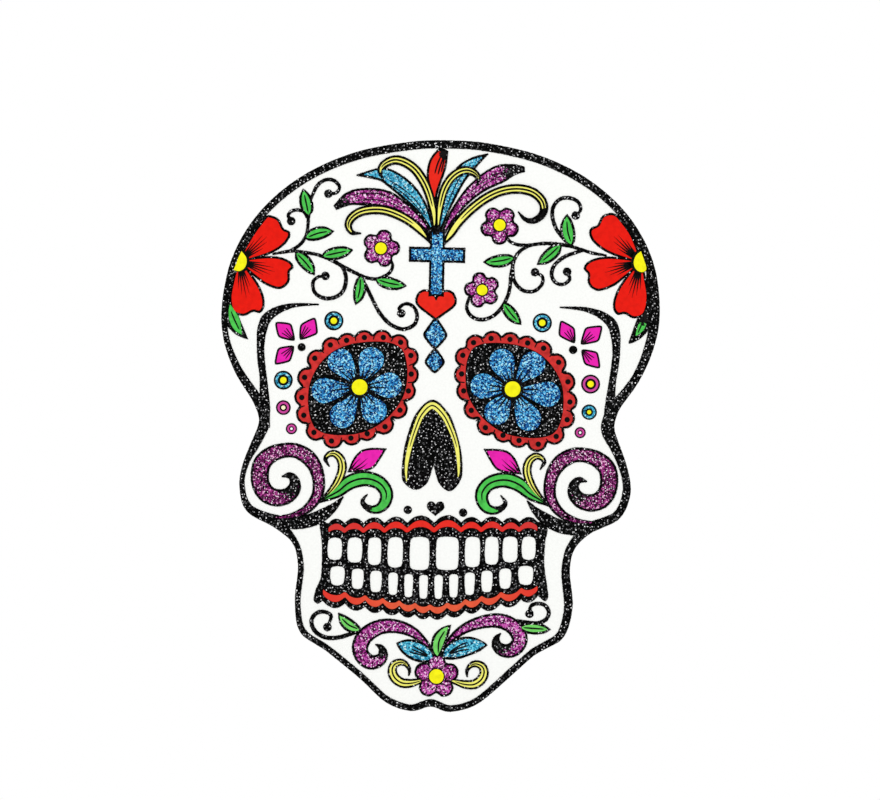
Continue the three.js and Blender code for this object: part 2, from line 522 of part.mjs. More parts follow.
// A polygon with its corners rounded off.
function rounded(corners, radius) {
  const points = corners.map(flat);
  const loop = points.flatMap((corner, i) => {
    const before = points.at(i - 1).clone().sub(corner);
    const after = points[(i + 1) % points.length].clone().sub(corner);
    const reach = Math.min(radius, before.length() / 2.2, after.length() / 2.2);
    const from = corner.clone().addScaledVector(before.normalize(), reach);
    const to = corner.clone().addScaledVector(after.normalize(), reach);
    return new THREE.QuadraticBezierCurve(from, corner, to).getPoints(CORNER_STEPS);
  });
  return outline(loop);
}

function heart({ x, notch, tip, half, lobe }) {
  const side = (sign) => {
    const at = (share, z) => flat([x + sign * half * share, z]);
    const rise = at(0.12, notch + lobe * 1.25);
    const crest = at(0.95, notch + lobe * 1.6);
    const shoulder = at(1, notch - lobe / 2);
    const flank = at(1, notch - lobe * 1.5);
    const taper = at(0.42, tip + lobe * 1.1);
    const upper = new THREE.CubicBezierCurve(at(0, notch), rise, crest, shoulder);
    const lower = new THREE.CubicBezierCurve(shoulder, flank, taper, at(0, tip));
    return thin([...upper.getPoints(STEPS), ...lower.getPoints(STEPS).slice(1)]);
  };
  return outline([...side(1), ...side(-1).reverse().slice(1, -1)]);
}

function drop({ top, corner, half, bottom }) {
  const corners = [[0, top], [-half, corner], [0, bottom], [half, corner]];
  return rounded(shifted(corners, [CREST_X, 0]), DROP_CORNER);
}

function cross({ top, bottom, arm, reach, bar }) {
  const half = bar / 2;
  const quarter = [[half, arm + half], [half, top], [-half, top], [-half, arm + half], [-reach, arm + half]];
  const foot = [[-half, arm - half], [-half, bottom], [half, bottom], [half, arm - half]];
  const corners = [...quarter, [-reach, arm - half], ...foot, [reach, arm - half], [reach, arm + half]];
  return outline(shifted(corners, [CREST_X, 0]).map(flat));
}

// A fan petal with a notched end, from a middle at x, z; the sign turns it to the left or the right.
function notchedPetal({ x, z }, [degrees, reach, width, notch], sign) {
  const half = width / 2;
  const edge = [
    [0.08, 0.2], [0.19, 0.43], [0.35, 0.67], [0.53, 0.89], [0.72, 1], [0.87, 0.96], [0.96, 0.76], [1, 0.44],
    [0.96, 0.06],
  ];
  const angle = radians(degrees);
  const lobe = (v) => notch + v - Math.abs(v) * notch;
  const place = (u, v) => {
    const along = u * reach;
    const across = (u > 0.9 ? lobe(v) : v) * half;
    return [
      x + sign * (along * Math.cos(angle) - across * Math.sin(angle)),
      z + along * Math.sin(angle) + across * Math.cos(angle),
    ];
  };
  const left = edge.map(([u, v]) => place(u, v));
  const right = edge.map(([u, v]) => place(u, -v)).reverse();
  return outline(smoothLoop([...left, ...right]));
}

// The skull outline

const [templeLeft, templeRight, templeZ] = SIDES[0];
const crownHeight = CROWN_Z - templeZ;
const crown = Array.from({ length: CROWN_POINTS }, (_, i) => {
  const angle = ((i + 0.5) / (CROWN_POINTS + 0.5)) * (Math.PI / 2);
  const rise = Math.cos(angle) ** (2 / CROWN_POWER_RIGHT);
  const reach = (power) => ((templeLeft + templeRight) / 2) * (1 - rise ** power) ** (1 / power);
  const middle = THREE.MathUtils.lerp((templeRight - templeLeft) / 2, CROWN_LEAN, rise);
  const left = reach(CROWN_POWER_LEFT) - middle;
  const right = reach(CROWN_POWER_RIGHT) + middle;
  const width = (temple) => THREE.MathUtils.lerp(temple, CROWN_BAND_TOP, rise);
  return [left, right, templeZ + crownHeight * rise, width(CROWN_BAND_LEFT), width(CROWN_BAND_RIGHT)];
});
const rows = [...crown, ...SIDES];
const rightSide = rows.map(([, right, z, , band]) => [right, z, band]);
const leftSide = rows.map(([left, , z, band]) => [-left, z, band]).reverse();
const skullRoute = [[CROWN_LEAN, CROWN_Z, CROWN_BAND_TOP], ...rightSide, CHIN_NOTCH, ...leftSide];
const skullCurve = curveThrough(skullRoute, true);
const skullSteps = skullRoute.length * STEPS;
const skullPlaces = Array.from({ length: skullSteps }, (_, i) => i / skullSteps);

// The outline moved in from the cut edge by a number of border widths and a fixed inset.
function skullLoop(bands, inset) {
  const moveIn = (t) => beside(skullCurve, t, -bands * skullCurve.getPoint(t).z - inset);
  return thinLoop(skullPlaces.map(moveIn));
}

const card = () => [new THREE.Shape(skullLoop(0, 0))];
const band = (grow) => {
  const ring = new THREE.Shape(skullLoop(0, Math.max(TRIM - grow, 0)));
  ring.holes.push(new THREE.Path(skullLoop(1, TRIM + grow)));
  return [ring];
};
const border = motif(
  band,
  stroke(BROW_LINE),
  stroke(shifted(mirrored(BROW_LINE), BROW_DROP)),
  stroke(CHEEKBONE_LINE),
  stroke(mirrored(CHEEKBONE_LINE)),
);

// The eyes, side -1 for the left and 1 for the right

function eye(side) {
  const place = (route) => (side < 0 ? route : shifted(mirrored(route), EYE_SHIFT).reverse());
  const middle = flat(EYE_MIDDLE);
  const socket = SOCKET_RADII.map((radius, i) => {
    const spot = polar(...EYE_MIDDLE, radius, (i * 2 * Math.PI) / SOCKET_RADII.length);
    return [spot.x, spot.y];
  });
  const circles = EYE_SCALLOPS.map((spot) => {
    const inwards = middle.clone().sub(flat(spot)).setLength(EYE_SCALLOP_INSET);
    return [spot[0] + inwards.x, spot[1] + inwards.y];
  });
  const rim = scallopLoop(place(circles).map(flat), EYE_SCALLOP_RADIUS);
  const hole = smoothLoop(place(socket));
  const ring = (grow) => {
    const [shape] = rim(grow);
    shape.holes.push(new THREE.Path(hole));
    return [shape];
  };
  const centre = disc(...place([EYE_MIDDLE])[0], EYE_CENTRE_RADIUS);
  return { ground: rim, ring, petals: outline(place(eyePetals()).map(flat)), centre };
}

// Round-ended petals whose straight sides run to a hub.
function eyePetals() {
  const loop = EYE_PETALS.flatMap(([degrees, reach]) => {
    const out = reach - EYE_PETAL_RADIUS;
    const spread = Math.asin(EYE_PETAL_RADIUS / out);
    const angle = radians(degrees);
    const centre = polar(0, 0, out, angle);
    const sweep = Math.PI / 2 + spread;
    const turns = Array.from({ length: 2 * SCALLOP_STEPS + 1 }, (_, i) => i / SCALLOP_STEPS - 1);
    const arc = turns.map((turn) => polar(centre.x, centre.y, EYE_PETAL_RADIUS, angle + sweep * turn));
    return [polar(0, 0, EYE_HUB_RADIUS, angle - spread), ...arc, polar(0, 0, EYE_HUB_RADIUS, angle + spread)];
  });
  return shifted(loop.map(({ x, y }) => [x, y]), EYE_MIDDLE);
}

// The mouth

function rowLine({ mid, tilt, slope = 0, soft = 0 }) {
  return (x) => mid + tilt * x + slope * (Math.hypot(x, soft) - soft);
}

// Cusps of a scalloped row, from the widths of its scallops.
function cusps({ from, widths }, line, lift = 0) {
  const xs = widths.reduce((row, width) => [...row, row.at(-1) + width], [from]);
  return xs.map((x) => new THREE.Vector2(x, rowLine(line)(x) + lift));
}

// Arcs from cusp to cusp, each rising by a share of its width, or falling for a negative share.
function scallopEdge(points, share) {
  return points.slice(1).flatMap((to, i) => {
    const from = points[i];
    const top = from.clone().add(to).multiplyScalar(0.5);
    top.y += 2 * share * from.distanceTo(to);
    const arc = new THREE.QuadraticBezierCurve(from, top, to).getPoints(SCALLOP_STEPS);
    return i ? arc.slice(1) : arc;
  });
}

function gum(row, line, drop, height, sign) {
  const near = scallopEdge(cusps(row, line, -sign * drop), sign * SCALLOP_RISE);
  const far = scallopEdge(cusps(row, line, -sign * (drop + height)), sign * GUM_RISE);
  return outline([...near, ...far.reverse()]);
}

function teeth(row, top, bottom, taper = 0) {
  return row.map(([left, width]) => {
    const middle = left + width / 2;
    const right = left + width;
    const draw = taper * width;
    const [low, high] = [rowLine(bottom)(middle), rowLine(top)(middle)];
    const corners = [[left + draw, low], [right - draw, low], [right, high], [left, high]];
    return rounded(corners, TOOTH_CORNER)(0)[0];
  });
}

const mouthEdge = [
  ...scallopEdge(cusps(UPPER_SCALLOPS, GUM_LINE_TOP), SCALLOP_RISE),
  ...smoothLine(MOUTH_RIGHT),
  ...scallopEdge(cusps(LOWER_SCALLOPS, GUM_LINE_BOTTOM), -SCALLOP_RISE).reverse().slice(1, -1),
  ...smoothLine(MOUTH_LEFT),
];
const mouth = outline(mouthEdge);
const toothWindows = [
  ...teeth(UPPER_TEETH, UPPER_TEETH_TOP, UPPER_TEETH_BOTTOM),
  ...teeth(LOWER_TEETH, LOWER_TEETH_TOP, LOWER_TEETH_BOTTOM, TOOTH_TAPER),
];

// Solids

// One flat loop raised from one level to another as a closed solid, standing up with the face towards -Y.
function prism(loop, from, to) {
  const plate = new THREE.ExtrudeGeometry(new THREE.Shape(loop), { depth: 1, steps: 1, bevelEnabled: false });
  const place = plate.getAttribute("position");
  for (let i = 0; i < place.count; i++) {
    const level = place.getZ(i) > 0.5 ? to : from;
    place.setXYZ(i, place.getX(i), -level, place.getY(i));
  }
  plate.deleteAttribute("normal");
  plate.deleteAttribute("uv");
  const closed = mergeVertices(plate, WELD);
  const vertProperties = closed.getAttribute("position").array;
  const triVerts = new Uint32Array(closed.index.array);
  return new wasm.Manifold(new wasm.Mesh({ numProp: 3, vertProperties, triVerts }));
}

// Flat shapes raised together, their holes cut through.
function raise(shapes, from, to) {
  const solids = shapes.map((shape) => {
    const holes = shape.holes.map((hole) => prism(hole.getPoints(), CUT_FROM, CUT_TO));
    return holes.reduce((solid, hole) => solid.subtract(hole), prism(shape.getPoints(), from, to));
  });
  return solids.reduce((all, solid) => all.add(solid));
}

// The largest body of a solid, without slivers that a cut has left.
function mainBody(solid) {
  return solid.decompose().sort((a, b) => b.volume() - a.volume())[0];
}

const printArea = raise([new THREE.Shape(skullLoop(0, TRIM))], CUT_FROM, CUT_TO);
const groundCutters = [];
const inkCutters = [];
const decoration = new THREE.Group();
decoration.name = "sugar_skull";

function add(name, solid, colour) {
  const made = solid.getMesh();
  const geometry = new THREE.BufferGeometry();
  geometry.setAttribute("position", new THREE.BufferAttribute(new Float32Array(made.vertProperties), 3));
  geometry.setIndex(new THREE.BufferAttribute(made.triVerts, 1));
  const faceted = geometry.toNonIndexed();
  faceted.computeVertexNormals();
  const material = new THREE.MeshStandardMaterial({ color: COLOURS[colour], name: colour, roughness: 0.6 });
  const mesh = new THREE.Mesh(faceted, material);
  mesh.name = name;
  decoration.add(mesh);
}

// A layer on the card, kept clear of the layers already there and inside the cut edge.
function layGround(name, shapes, colour = "black_glitter", windows = []) {
  let plate = raise(shapes(0), GROUND_FROM, INK_FROM).intersect(printArea);
  for (const cutter of groundCutters) plate = plate.subtract(cutter.near);
  for (const window of windows) plate = plate.subtract(raise([window], CUT_FROM, CUT_TO));
  const near = raise(shapes(CLEARANCE), CUT_FROM, CUT_TO);
  const wide = raise(shapes(CLEARANCE + KEYLINE), CUT_FROM, CUT_TO);
  groundCutters.push({ name, near, wide });
  add(name, mainBody(plate), colour);
}

// A colour on a ground, with the keyline left round it and round every other ground and colour.
function layInk(name, ground, shapes, colour, grow = -KEYLINE) {
  let plate = raise(shapes(grow), INK_FROM, TOP_INK_FROM).intersect(printArea);
  const others = groundCutters.filter((cutter) => cutter.name !== ground);
  for (const cutter of others) plate = plate.subtract(cutter.wide);
  for (const cutter of inkCutters) plate = plate.subtract(cutter);
  inkCutters.push(raise(shapes(grow + KEYLINE), CUT_FROM, CUT_TO));
  add(name, mainBody(plate), colour);
}

// Card
add("back_sheet", raise(card(), 0, CORE_FROM), "back_sheet");
add("core_board", raise(card(), CORE_FROM, FRONT_FROM), "core_card");
add("face_sheet", raise(card(), FRONT_FROM, GROUND_FROM), "white_sheet");

// Grounds
const leftEye = eye(-1);
const rightEye = eye(1);
const rightCheek = (route) => shifted(mirrored(route), CHEEK_SHIFT);
const bud = (lower, upper) => outline([...smoothLine(lower), ...smoothLine(upper).slice(1, -1)]);
const templeFan = (middle, petals, sign) => motif(
  ...petals.map((petal) => notchedPetal(middle, petal, sign)),
  disc(middle.x, middle.z, TEMPLE_MIDDLE_RADIUS),
);
const leftTemple = templeFan(TEMPLE_LEFT, TEMPLE_PETALS_LEFT, 1);
const rightTemple = templeFan(TEMPLE_RIGHT, TEMPLE_PETALS_RIGHT, -1);
const dots = (places) => places.map(([x, z]) => disc(x, z, CURL_DOT_RADIUS));
const feathers = [
  RED_FEATHER, BLUE_FEATHER_LEFT, BLUE_FEATHER_RIGHT, PURPLE_FEATHER_LEFT, PURPLE_FEATHER_RIGHT, ...PLUMES,
];
const crestFigures = [cross(CROSS), heart(CREST_HEART), drop(UPPER_DROP), drop(LOWER_DROP)];
const cheekStrokes = [CHEEK_SPIRAL, CHEEK_SPRIG, CHEEK_SWOOSH];
const chinStrokes = [
  CHIN_SCROLL_LEFT, CHIN_SCROLL_RIGHT, CHIN_HOOK, mirrored(CHIN_HOOK, CHIN_HOOK_LINE), ...CHIN_CURLS,
];

layGround("border_line", border);
layGround("mouth_ground", mouth, "black_glitter", toothWindows);
layGround("left_eye_ground", leftEye.ground);
layGround("right_eye_ground", rightEye.ground);
layGround("nose_ground", outline(smoothLoop(NOSE)));
layGround("crest_ground", motif(...crestFigures, ...feathers.map(stroke)));
layGround("left_temple_ground", motif(leftTemple, leaf(TEMPLE_LEAVES.left)));
layGround("right_temple_ground", motif(rightTemple, leaf(TEMPLE_LEAVES.right)));
layGround("left_vine", motif(
  ...LEFT_STEMS.map(stroke), ...LEFT_LEAVES.map(leaf), ...dots(LEFT_DOTS), flower(LEFT_FLOWER),
));
layGround("right_vine", motif(
  ...RIGHT_STEMS.map(stroke), ...RIGHT_LEAVES.map(leaf), ...dots(RIGHT_DOTS),
  flower(RIGHT_UPPER_FLOWER), flower(RIGHT_LOWER_FLOWER),
));
layGround("left_cheek_ground", motif(
  ...cheekStrokes.map(stroke), bud(CHEEK_BUD.lower, CHEEK_BUD.upper),
));
layGround("right_cheek_ground", motif(
  ...cheekStrokes.map(rightCheek).map(stroke),
  bud(rightCheek(CHEEK_BUD.lower), rightCheek(CHEEK_BUD.upper)),
));
layGround("chin_ground", motif(
  ...chinStrokes.map(stroke), ...CHIN_LEAVES.map(leaf), ...dots(CHIN_DOTS), flower(CHIN_FLOWER),
));
layGround("lip_heart", heart(LIP_HEART));
for (const [name, corners] of Object.entries(BROW_PETALS)) {
  layGround(name, rounded(corners, BROW_CORNER), "pink_ink");
}
for (const [name, [x, z, radius, colour]] of Object.entries(RINGS)) {
  layGround(name, disc(x, z, radius), colour);
}

// Colours
layInk("left_eye_rim", "left_eye_ground", leftEye.ring, "red_ink");
layInk("left_eye_petals", "left_eye_ground", leftEye.petals, "blue_glitter", 0);
layInk("right_eye_rim", "right_eye_ground", rightEye.ring, "red_ink");
layInk("right_eye_petals", "right_eye_ground", rightEye.petals, "blue_glitter", 0);
layInk("cross", "crest_ground", cross(CROSS), "blue_glitter");
layInk("crest_heart", "crest_ground", heart(CREST_HEART), "red_ink");
layInk("upper_drop", "crest_ground", drop(UPPER_DROP), "blue_glitter");
layInk("lower_drop", "crest_ground", drop(LOWER_DROP), "blue_glitter");
layInk("red_feather", "crest_ground", stroke(RED_FEATHER), "red_ink");
layInk("left_blue_feather", "crest_ground", stroke(BLUE_FEATHER_LEFT), "blue_glitter");
layInk("right_blue_feather", "crest_ground", stroke(BLUE_FEATHER_RIGHT), "blue_glitter");
layInk("left_purple_feather", "crest_ground", stroke(PURPLE_FEATHER_LEFT), "purple_glitter");
layInk("right_purple_feather", "crest_ground", stroke(PURPLE_FEATHER_RIGHT), "purple_glitter");
layInk("left_temple_petals", "left_temple_ground", leftTemple, "red_ink");
layInk("right_temple_petals", "right_temple_ground", rightTemple, "red_ink");
layInk("left_flower", "left_vine", flower(LEFT_FLOWER), "purple_glitter");
layInk("right_upper_flower", "right_vine", flower(RIGHT_UPPER_FLOWER), "purple_glitter");
layInk("right_lower_flower", "right_vine", flower(RIGHT_LOWER_FLOWER), "purple_glitter");
layInk("upper_gum", "mouth_ground", gum(
  UPPER_SCALLOPS, GUM_LINE_TOP, UPPER_GUM_DROP, UPPER_GUM_HEIGHT, 1,
), "red_ink", 0);
layInk("lower_gum", "mouth_ground", gum(
  LOWER_SCALLOPS, GUM_LINE_BOTTOM, LOWER_GUM_DROP, LOWER_GUM_HEIGHT, -1,
), "orange_ink", 0);
layInk("left_cheek_spiral", "left_cheek_ground", stroke(CHEEK_SPIRAL), "purple_glitter");
layInk("right_cheek_spiral", "right_cheek_ground", stroke(rightCheek(CHEEK_SPIRAL)), "purple_glitter");
layInk("left_cheek_swoosh", "left_cheek_ground", stroke(CHEEK_SWOOSH), "green_ink");
layInk("right_cheek_swoosh", "right_cheek_ground", stroke(rightCheek(CHEEK_SWOOSH)), "green_ink");
layInk("left_chin_scroll", "chin_ground", stroke(CHIN_SCROLL_LEFT), "purple_glitter");
layInk("right_chin_scroll", "chin_ground", stroke(CHIN_SCROLL_RIGHT), "purple_glitter");
layInk("chin_flower", "chin_ground", flower(CHIN_FLOWER), "purple_glitter");

// Eye centres, on the petals
add("left_eye_centre", raise(leftEye.centre(0), TOP_INK_FROM, TOP_INK_FROM + INK_THICKNESS), "yellow_ink");
add("right_eye_centre", raise(rightEye.centre(0), TOP_INK_FROM, TOP_INK_FROM + INK_THICKNESS), "yellow_ink");

export default decoration;
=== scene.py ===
# %% [markdown]
# # A sugar skull cutout
# The object is a flat holiday decoration: a stiff white card cut to the outline of a skull and
# printed on its front in ink and glitter. The frame brings in the solids, which hold every size.
# This lesson only dresses them. Each solid is replaced by a plate with the same outline, drawn
# smoother and given its real finish.

# %% Load the frame
import math

import bpy
import numpy as np
from mathutils import Matrix, Vector
from mathutils.geometry import delaunay_2d_cdt


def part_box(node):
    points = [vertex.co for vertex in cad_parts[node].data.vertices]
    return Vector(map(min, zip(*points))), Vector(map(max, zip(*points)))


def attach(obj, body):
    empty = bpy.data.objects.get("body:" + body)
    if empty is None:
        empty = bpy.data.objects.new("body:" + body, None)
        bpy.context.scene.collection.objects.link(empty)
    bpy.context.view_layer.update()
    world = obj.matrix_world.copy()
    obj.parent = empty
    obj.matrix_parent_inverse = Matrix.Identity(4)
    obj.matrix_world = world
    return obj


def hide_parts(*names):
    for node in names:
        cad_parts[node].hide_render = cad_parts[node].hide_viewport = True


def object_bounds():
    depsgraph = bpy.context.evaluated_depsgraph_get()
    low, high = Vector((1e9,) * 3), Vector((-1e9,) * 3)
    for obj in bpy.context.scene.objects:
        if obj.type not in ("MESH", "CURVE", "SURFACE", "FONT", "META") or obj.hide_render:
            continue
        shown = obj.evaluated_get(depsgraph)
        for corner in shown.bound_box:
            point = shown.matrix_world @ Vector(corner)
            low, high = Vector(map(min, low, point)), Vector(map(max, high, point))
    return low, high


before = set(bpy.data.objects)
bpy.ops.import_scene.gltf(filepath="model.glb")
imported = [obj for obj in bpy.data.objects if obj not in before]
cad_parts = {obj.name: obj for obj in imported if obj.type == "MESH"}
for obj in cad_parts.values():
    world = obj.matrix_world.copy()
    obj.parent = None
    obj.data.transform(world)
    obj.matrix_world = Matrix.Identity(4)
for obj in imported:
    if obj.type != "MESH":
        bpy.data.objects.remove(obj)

MM = 0.001  # lengths below are in millimetres, and Blender counts in metres
cad_low, cad_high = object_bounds()
cad_size = [round((high - low) / MM, 1) for low, high in zip(cad_low, cad_high)]
print("solids:", len(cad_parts), "box in mm:", cad_size)

# %% [markdown]
# ## The camera
# The photograph looks straight at the card from the front, and the card hangs a little clockwise.
# A long lens a metre and a half away keeps the sides parallel. The camera rolls instead of the
# card, so that the card stays upright in its own frame.

# %% Camera
PHOTO_WIDTH = 880  # pixels
PIXEL = 0.62  # millimetres of card under one pixel of the photograph
FRAME_WIDTH = PHOTO_WIDTH * PIXEL
SENSOR = 36
CAMERA_DISTANCE = 1500
FACE = 3.0  # the card's front face stands this far off the wall
CARD_TURN = math.radians(1.25)
VIEW_MIDDLE = (1.68, 15.81)


def add_object(name, data):
    """A new object in the scene."""
    made = bpy.data.objects.new(name, data)
    bpy.context.scene.collection.objects.link(made)
    return made


camera = add_object("camera", bpy.data.cameras.new("camera"))
camera.data.sensor_width = SENSOR
camera.data.lens = SENSOR * CAMERA_DISTANCE / FRAME_WIDTH
place = (VIEW_MIDDLE[0] * MM, -(CAMERA_DISTANCE + FACE) * MM, VIEW_MIDDLE[1] * MM)
look_forward = Matrix.Rotation(math.radians(90), 4, "X")
roll = Matrix.Rotation(CARD_TURN, 4, "Z")
camera.matrix_world = Matrix.Translation(place) @ look_forward @ roll
bpy.context.scene.camera = camera
bpy.context.scene.view_settings.view_transform = "Standard"
print("lens in mm:", round(camera.data.lens, 1))

# %% [markdown]
# ## Nodes in few words
# A finish is a graph of nodes. A few helpers keep the graphs short: they add a node and fill its
# inputs with numbers or with other nodes' outputs, reckon with numbers or vectors, turn listed
# colours into linear light, and choose or mix colours.

# %% Node helpers
def add_node(tree, kind, inputs=None, **settings):
    """Adds a node, sets its options, then writes or links each input by its name or number."""
    made = tree.nodes.new("ShaderNode" + kind)
    for name, value in settings.items():
        setattr(made, name, value)
    for key, value in (inputs or {}).items():
        if isinstance(value, bpy.types.NodeSocket):
            tree.links.new(value, made.inputs[key])
        else:
            made.inputs[key].default_value = value
    return made


def calc(tree, operation, *values, kind="Math"):
    """The result of an operation on numbers or, with VectorMath as the kind, on vectors."""
    outputs = add_node(tree, kind, dict(enumerate(values)), operation=operation).outputs
    return outputs["Value" if operation == "DISTANCE" else 0]


def tint(red, green, blue):
    """A screen colour of 0 to 255 as linear light: the screen's power curve, undone."""
    screen = np.array([red, green, blue]) / 255
    light = np.where(screen > 0.04045, ((screen + 0.055) / 1.055) ** 2.4, screen / 12.92)
    return (*light.tolist(), 1.0)


def tones(*rows):
    """Stops of a ramp, from rows of the place where a tone begins and its screen colour."""
    return [(start, tint(*colour)) for start, *colour in rows]


def ramp(tree, factor, stops, blend="CONSTANT"):
    """A colour chosen by a factor: each stop is the place where its colour begins."""
    made = add_node(tree, "ValToRGB", {"Fac": factor})
    made.color_ramp.interpolation = blend
    elements = made.color_ramp.elements
    while len(elements) < len(stops):
        elements.new(1.0)
    for element, (position, colour) in zip(elements, stops):
        element.position = position
        element.color = colour
    return made.outputs["Color"]


def mixed(tree, factor, first, second):
    """The first colour where the factor is 0, the second where it is 1."""
    made = add_node(tree, "Mix", {0: factor, 6: first, 7: second}, data_type="RGBA")
    return made.outputs[2]


print("white as light:", tint(250, 251, 248))

# %% [markdown]
# ## Room and floor
# The card hangs before a white studio. The world is plain white wherever the camera, a reflection
# or a clear material looks at it, and gives a soft even light to everything else. Two large lamps
# in front add a little direction, so that the edges of the print catch light. The floor is a pale
# disc below the card that fades into the white round it, and it still takes the card's shadow.

# %% Room light
ROOM_LIGHT = 0.68
WHITE = (1, 1, 1, 1)
# Place in metres, width and power of each lamp
LAMPS = {"key_lamp": ((-0.9, -1.5, 1.1), 1.1, 10.5), "fill_lamp": ((1.1, -1.7, 0.2), 1.4, 7.0)}

world = bpy.data.worlds.new("studio")
bpy.context.scene.world = world
world.use_nodes = True
room = world.node_tree
room.nodes.clear()


def seen_directly(tree):
    """1 for a ray from the camera, a reflection or a clear material, and 0 for a ray that gathers
    light."""
    rays = add_node(tree, "LightPath").outputs
    seen = calc(tree, "MAXIMUM", rays["Is Camera Ray"], rays["Is Glossy Ray"])
    return calc(tree, "MAXIMUM", seen, rays["Is Transmission Ray"])


glow, white = (add_node(room, "Background", {"Color": WHITE, "Strength": strength}).outputs[0]
               for strength in (ROOM_LIGHT, 1.0))
choice = add_node(room, "MixShader", {0: seen_directly(room), 1: glow, 2: white})
add_node(room, "OutputWorld", {"Surface": choice.outputs[0]})

for name, (spot, width, power) in LAMPS.items():
    lamp = add_object(name, bpy.data.lights.new(name, "AREA"))
    lamp.data.size = width
    lamp.data.energy = power
    aim = (-Vector(spot)).to_track_quat("-Z", "Y").to_matrix().to_4x4()
    lamp.matrix_world = Matrix.Translation(spot) @ aim
print("lamps:", list(LAMPS))

# %% Floor
FLOOR_LEVEL, FLOOR_REACH, FADE_START = -0.45, 1.3, 0.45  # in metres
FLOOR_GRAIN = 60.0
FLOOR_TONES = tones((0.3, 246, 246, 246), (0.7, 250, 250, 250))


def band_faces(rows, count):
    """Quads between rows of so many points, each row closed round to its start."""
    row, place = np.meshgrid(np.arange(rows - 1), np.arange(count), indexing="ij")
    low, high, after = row * count, (row + 1) * count, (place + 1) % count
    return np.stack([low + place, low + after, high + after, high + place], -1).reshape(-1, 4)


def disc_mesh(name, reach, level, rings=24, spokes=96):
    """A flat disc: radius by angle on a grid, with one closing face at the middle."""
    radius = np.linspace(reach / rings, reach, rings)[:, None]
    angle = np.linspace(0, 2 * np.pi, spokes, endpoint=False)[None, :]
    x, y = radius * np.cos(angle), radius * np.sin(angle)
    points = np.stack([x, y, np.full_like(x, level)], -1).reshape(-1, 3)
    quads = band_faces(rings, spokes)[:, ::-1]
    mesh = bpy.data.meshes.new(name)
    mesh.from_pydata(points.tolist(), [], quads.tolist() + [list(range(spokes))])
    return mesh


floor = add_object("floor", disc_mesh("floor", FLOOR_REACH, FLOOR_LEVEL))
pale = bpy.data.materials.new("pale_floor")
pale.use_nodes = True
tree = pale.node_tree
tree.nodes.clear()
spot = add_node(tree, "TexCoord").outputs["Object"]
away = calc(tree, "DISTANCE", spot, (0, 0, FLOOR_LEVEL), kind="VectorMath")
edge = {"Value": away, "From Min": FADE_START, "From Max": FLOOR_REACH}
fade = add_node(tree, "MapRange", edge, interpolation_type="SMOOTHSTEP").outputs["Result"]
grain = add_node(tree, "TexNoise", {"Vector": spot, "Scale": FLOOR_GRAIN}).outputs["Fac"]
lit = add_node(tree, "BsdfDiffuse", {"Color": ramp(tree, grain, FLOOR_TONES, "LINEAR")})
bright = add_node(tree, "Emission", {"Color": WHITE, "Strength": 1.0})
share = calc(tree, "MULTIPLY", fade, seen_directly(tree))
surface = add_node(tree, "MixShader", {0: share, 1: lit.outputs[0], 2: bright.outputs[0]})
add_node(tree, "OutputMaterial", {"Surface": surface.outputs[0]})
floor.data.materials.append(pale)
print("floor:", len(floor.data.polygons), "faces")

# %% [markdown]
# ## Card
# The board is a core of grey-white pulp between two thin sheets. The front sheet is bright and
# smooth, the back one is plain unbleached paper with darker fibres. The cut edge shows the core as
# fine layers, so its noise is stretched: long along the edge and short through the thickness.

# %% Card finishes
CARD_SHINE = 0.2
DARK_END, LIGHT_START = 0.35, 0.65  # noise below the first is all dark, above the second all light
# Dark and light tone, width of the blots, their squeeze along x, y and z, relief, roughness
CARD_FINISHES = {
    "white_sheet": ((248, 249, 246), (252, 253, 250), 1.4, (1, 1, 1), 0.03, 0.42),
    "core_card": ((196, 190, 178), (226, 221, 210), 1.8, (1, 8, 1), 0.12, 0.85),
    "back_sheet": ((197, 182, 154), (208, 194, 167), 1.3, (1, 1, 0.6), 0.03, 0.85),
}


def new_finish(name, roughness, shine):
    """A new material of a roughness and a shine, with its graph, its shader and its Object
    coordinates."""
    material = bpy.data.materials.new(name)
    material.use_nodes = True
    tree = material.node_tree
    shader = tree.nodes["Principled BSDF"]
    shader.inputs["Roughness"].default_value = roughness
    shader.inputs["Specular IOR Level"].default_value = shine
    return material, tree, shader, add_node(tree, "TexCoord").outputs["Object"]


def noise(tree, spot, size, detail=3.0, squeeze=(1, 1, 1)):
    """Cloudy noise with blots of a size in millimetres, divided by the squeeze along each axis."""
    scale = [axis / (size * MM) for axis in squeeze]
    spread = add_node(tree, "Mapping", {"Vector": spot, "Scale": scale})
    inputs = {"Vector": spread.outputs[0], "Scale": 1.0, "Detail": detail}
    return add_node(tree, "TexNoise", inputs).outputs["Fac"]


def emboss(tree, shader, height, depth, strength=0.5):
    """Tilts the surface by a height of so many millimetres."""
    inputs = {"Height": height, "Distance": depth * MM, "Strength": strength}
    tree.links.new(add_node(tree, "Bump", inputs).outputs[0], shader.inputs["Normal"])


def card_finish(name, dark, light, size, squeeze, depth, roughness):
    """Pulp: two close tones mixed by cloudy noise, with fibres twice as fine as a slight relief."""
    material, tree, shader, spot = new_finish(name, roughness, CARD_SHINE)
    stops = tones((DARK_END, *dark), (LIGHT_START, *light))
    tone = ramp(tree, noise(tree, spot, size, 4.0, squeeze), stops, "LINEAR")
    tree.links.new(tone, shader.inputs["Base Color"])
    emboss(tree, shader, noise(tree, spot, size / 2, 2.0, squeeze), depth)
    return material


finishes = {name: card_finish(name, *values) for name, values in CARD_FINISHES.items()}
print("card finishes:", list(finishes))
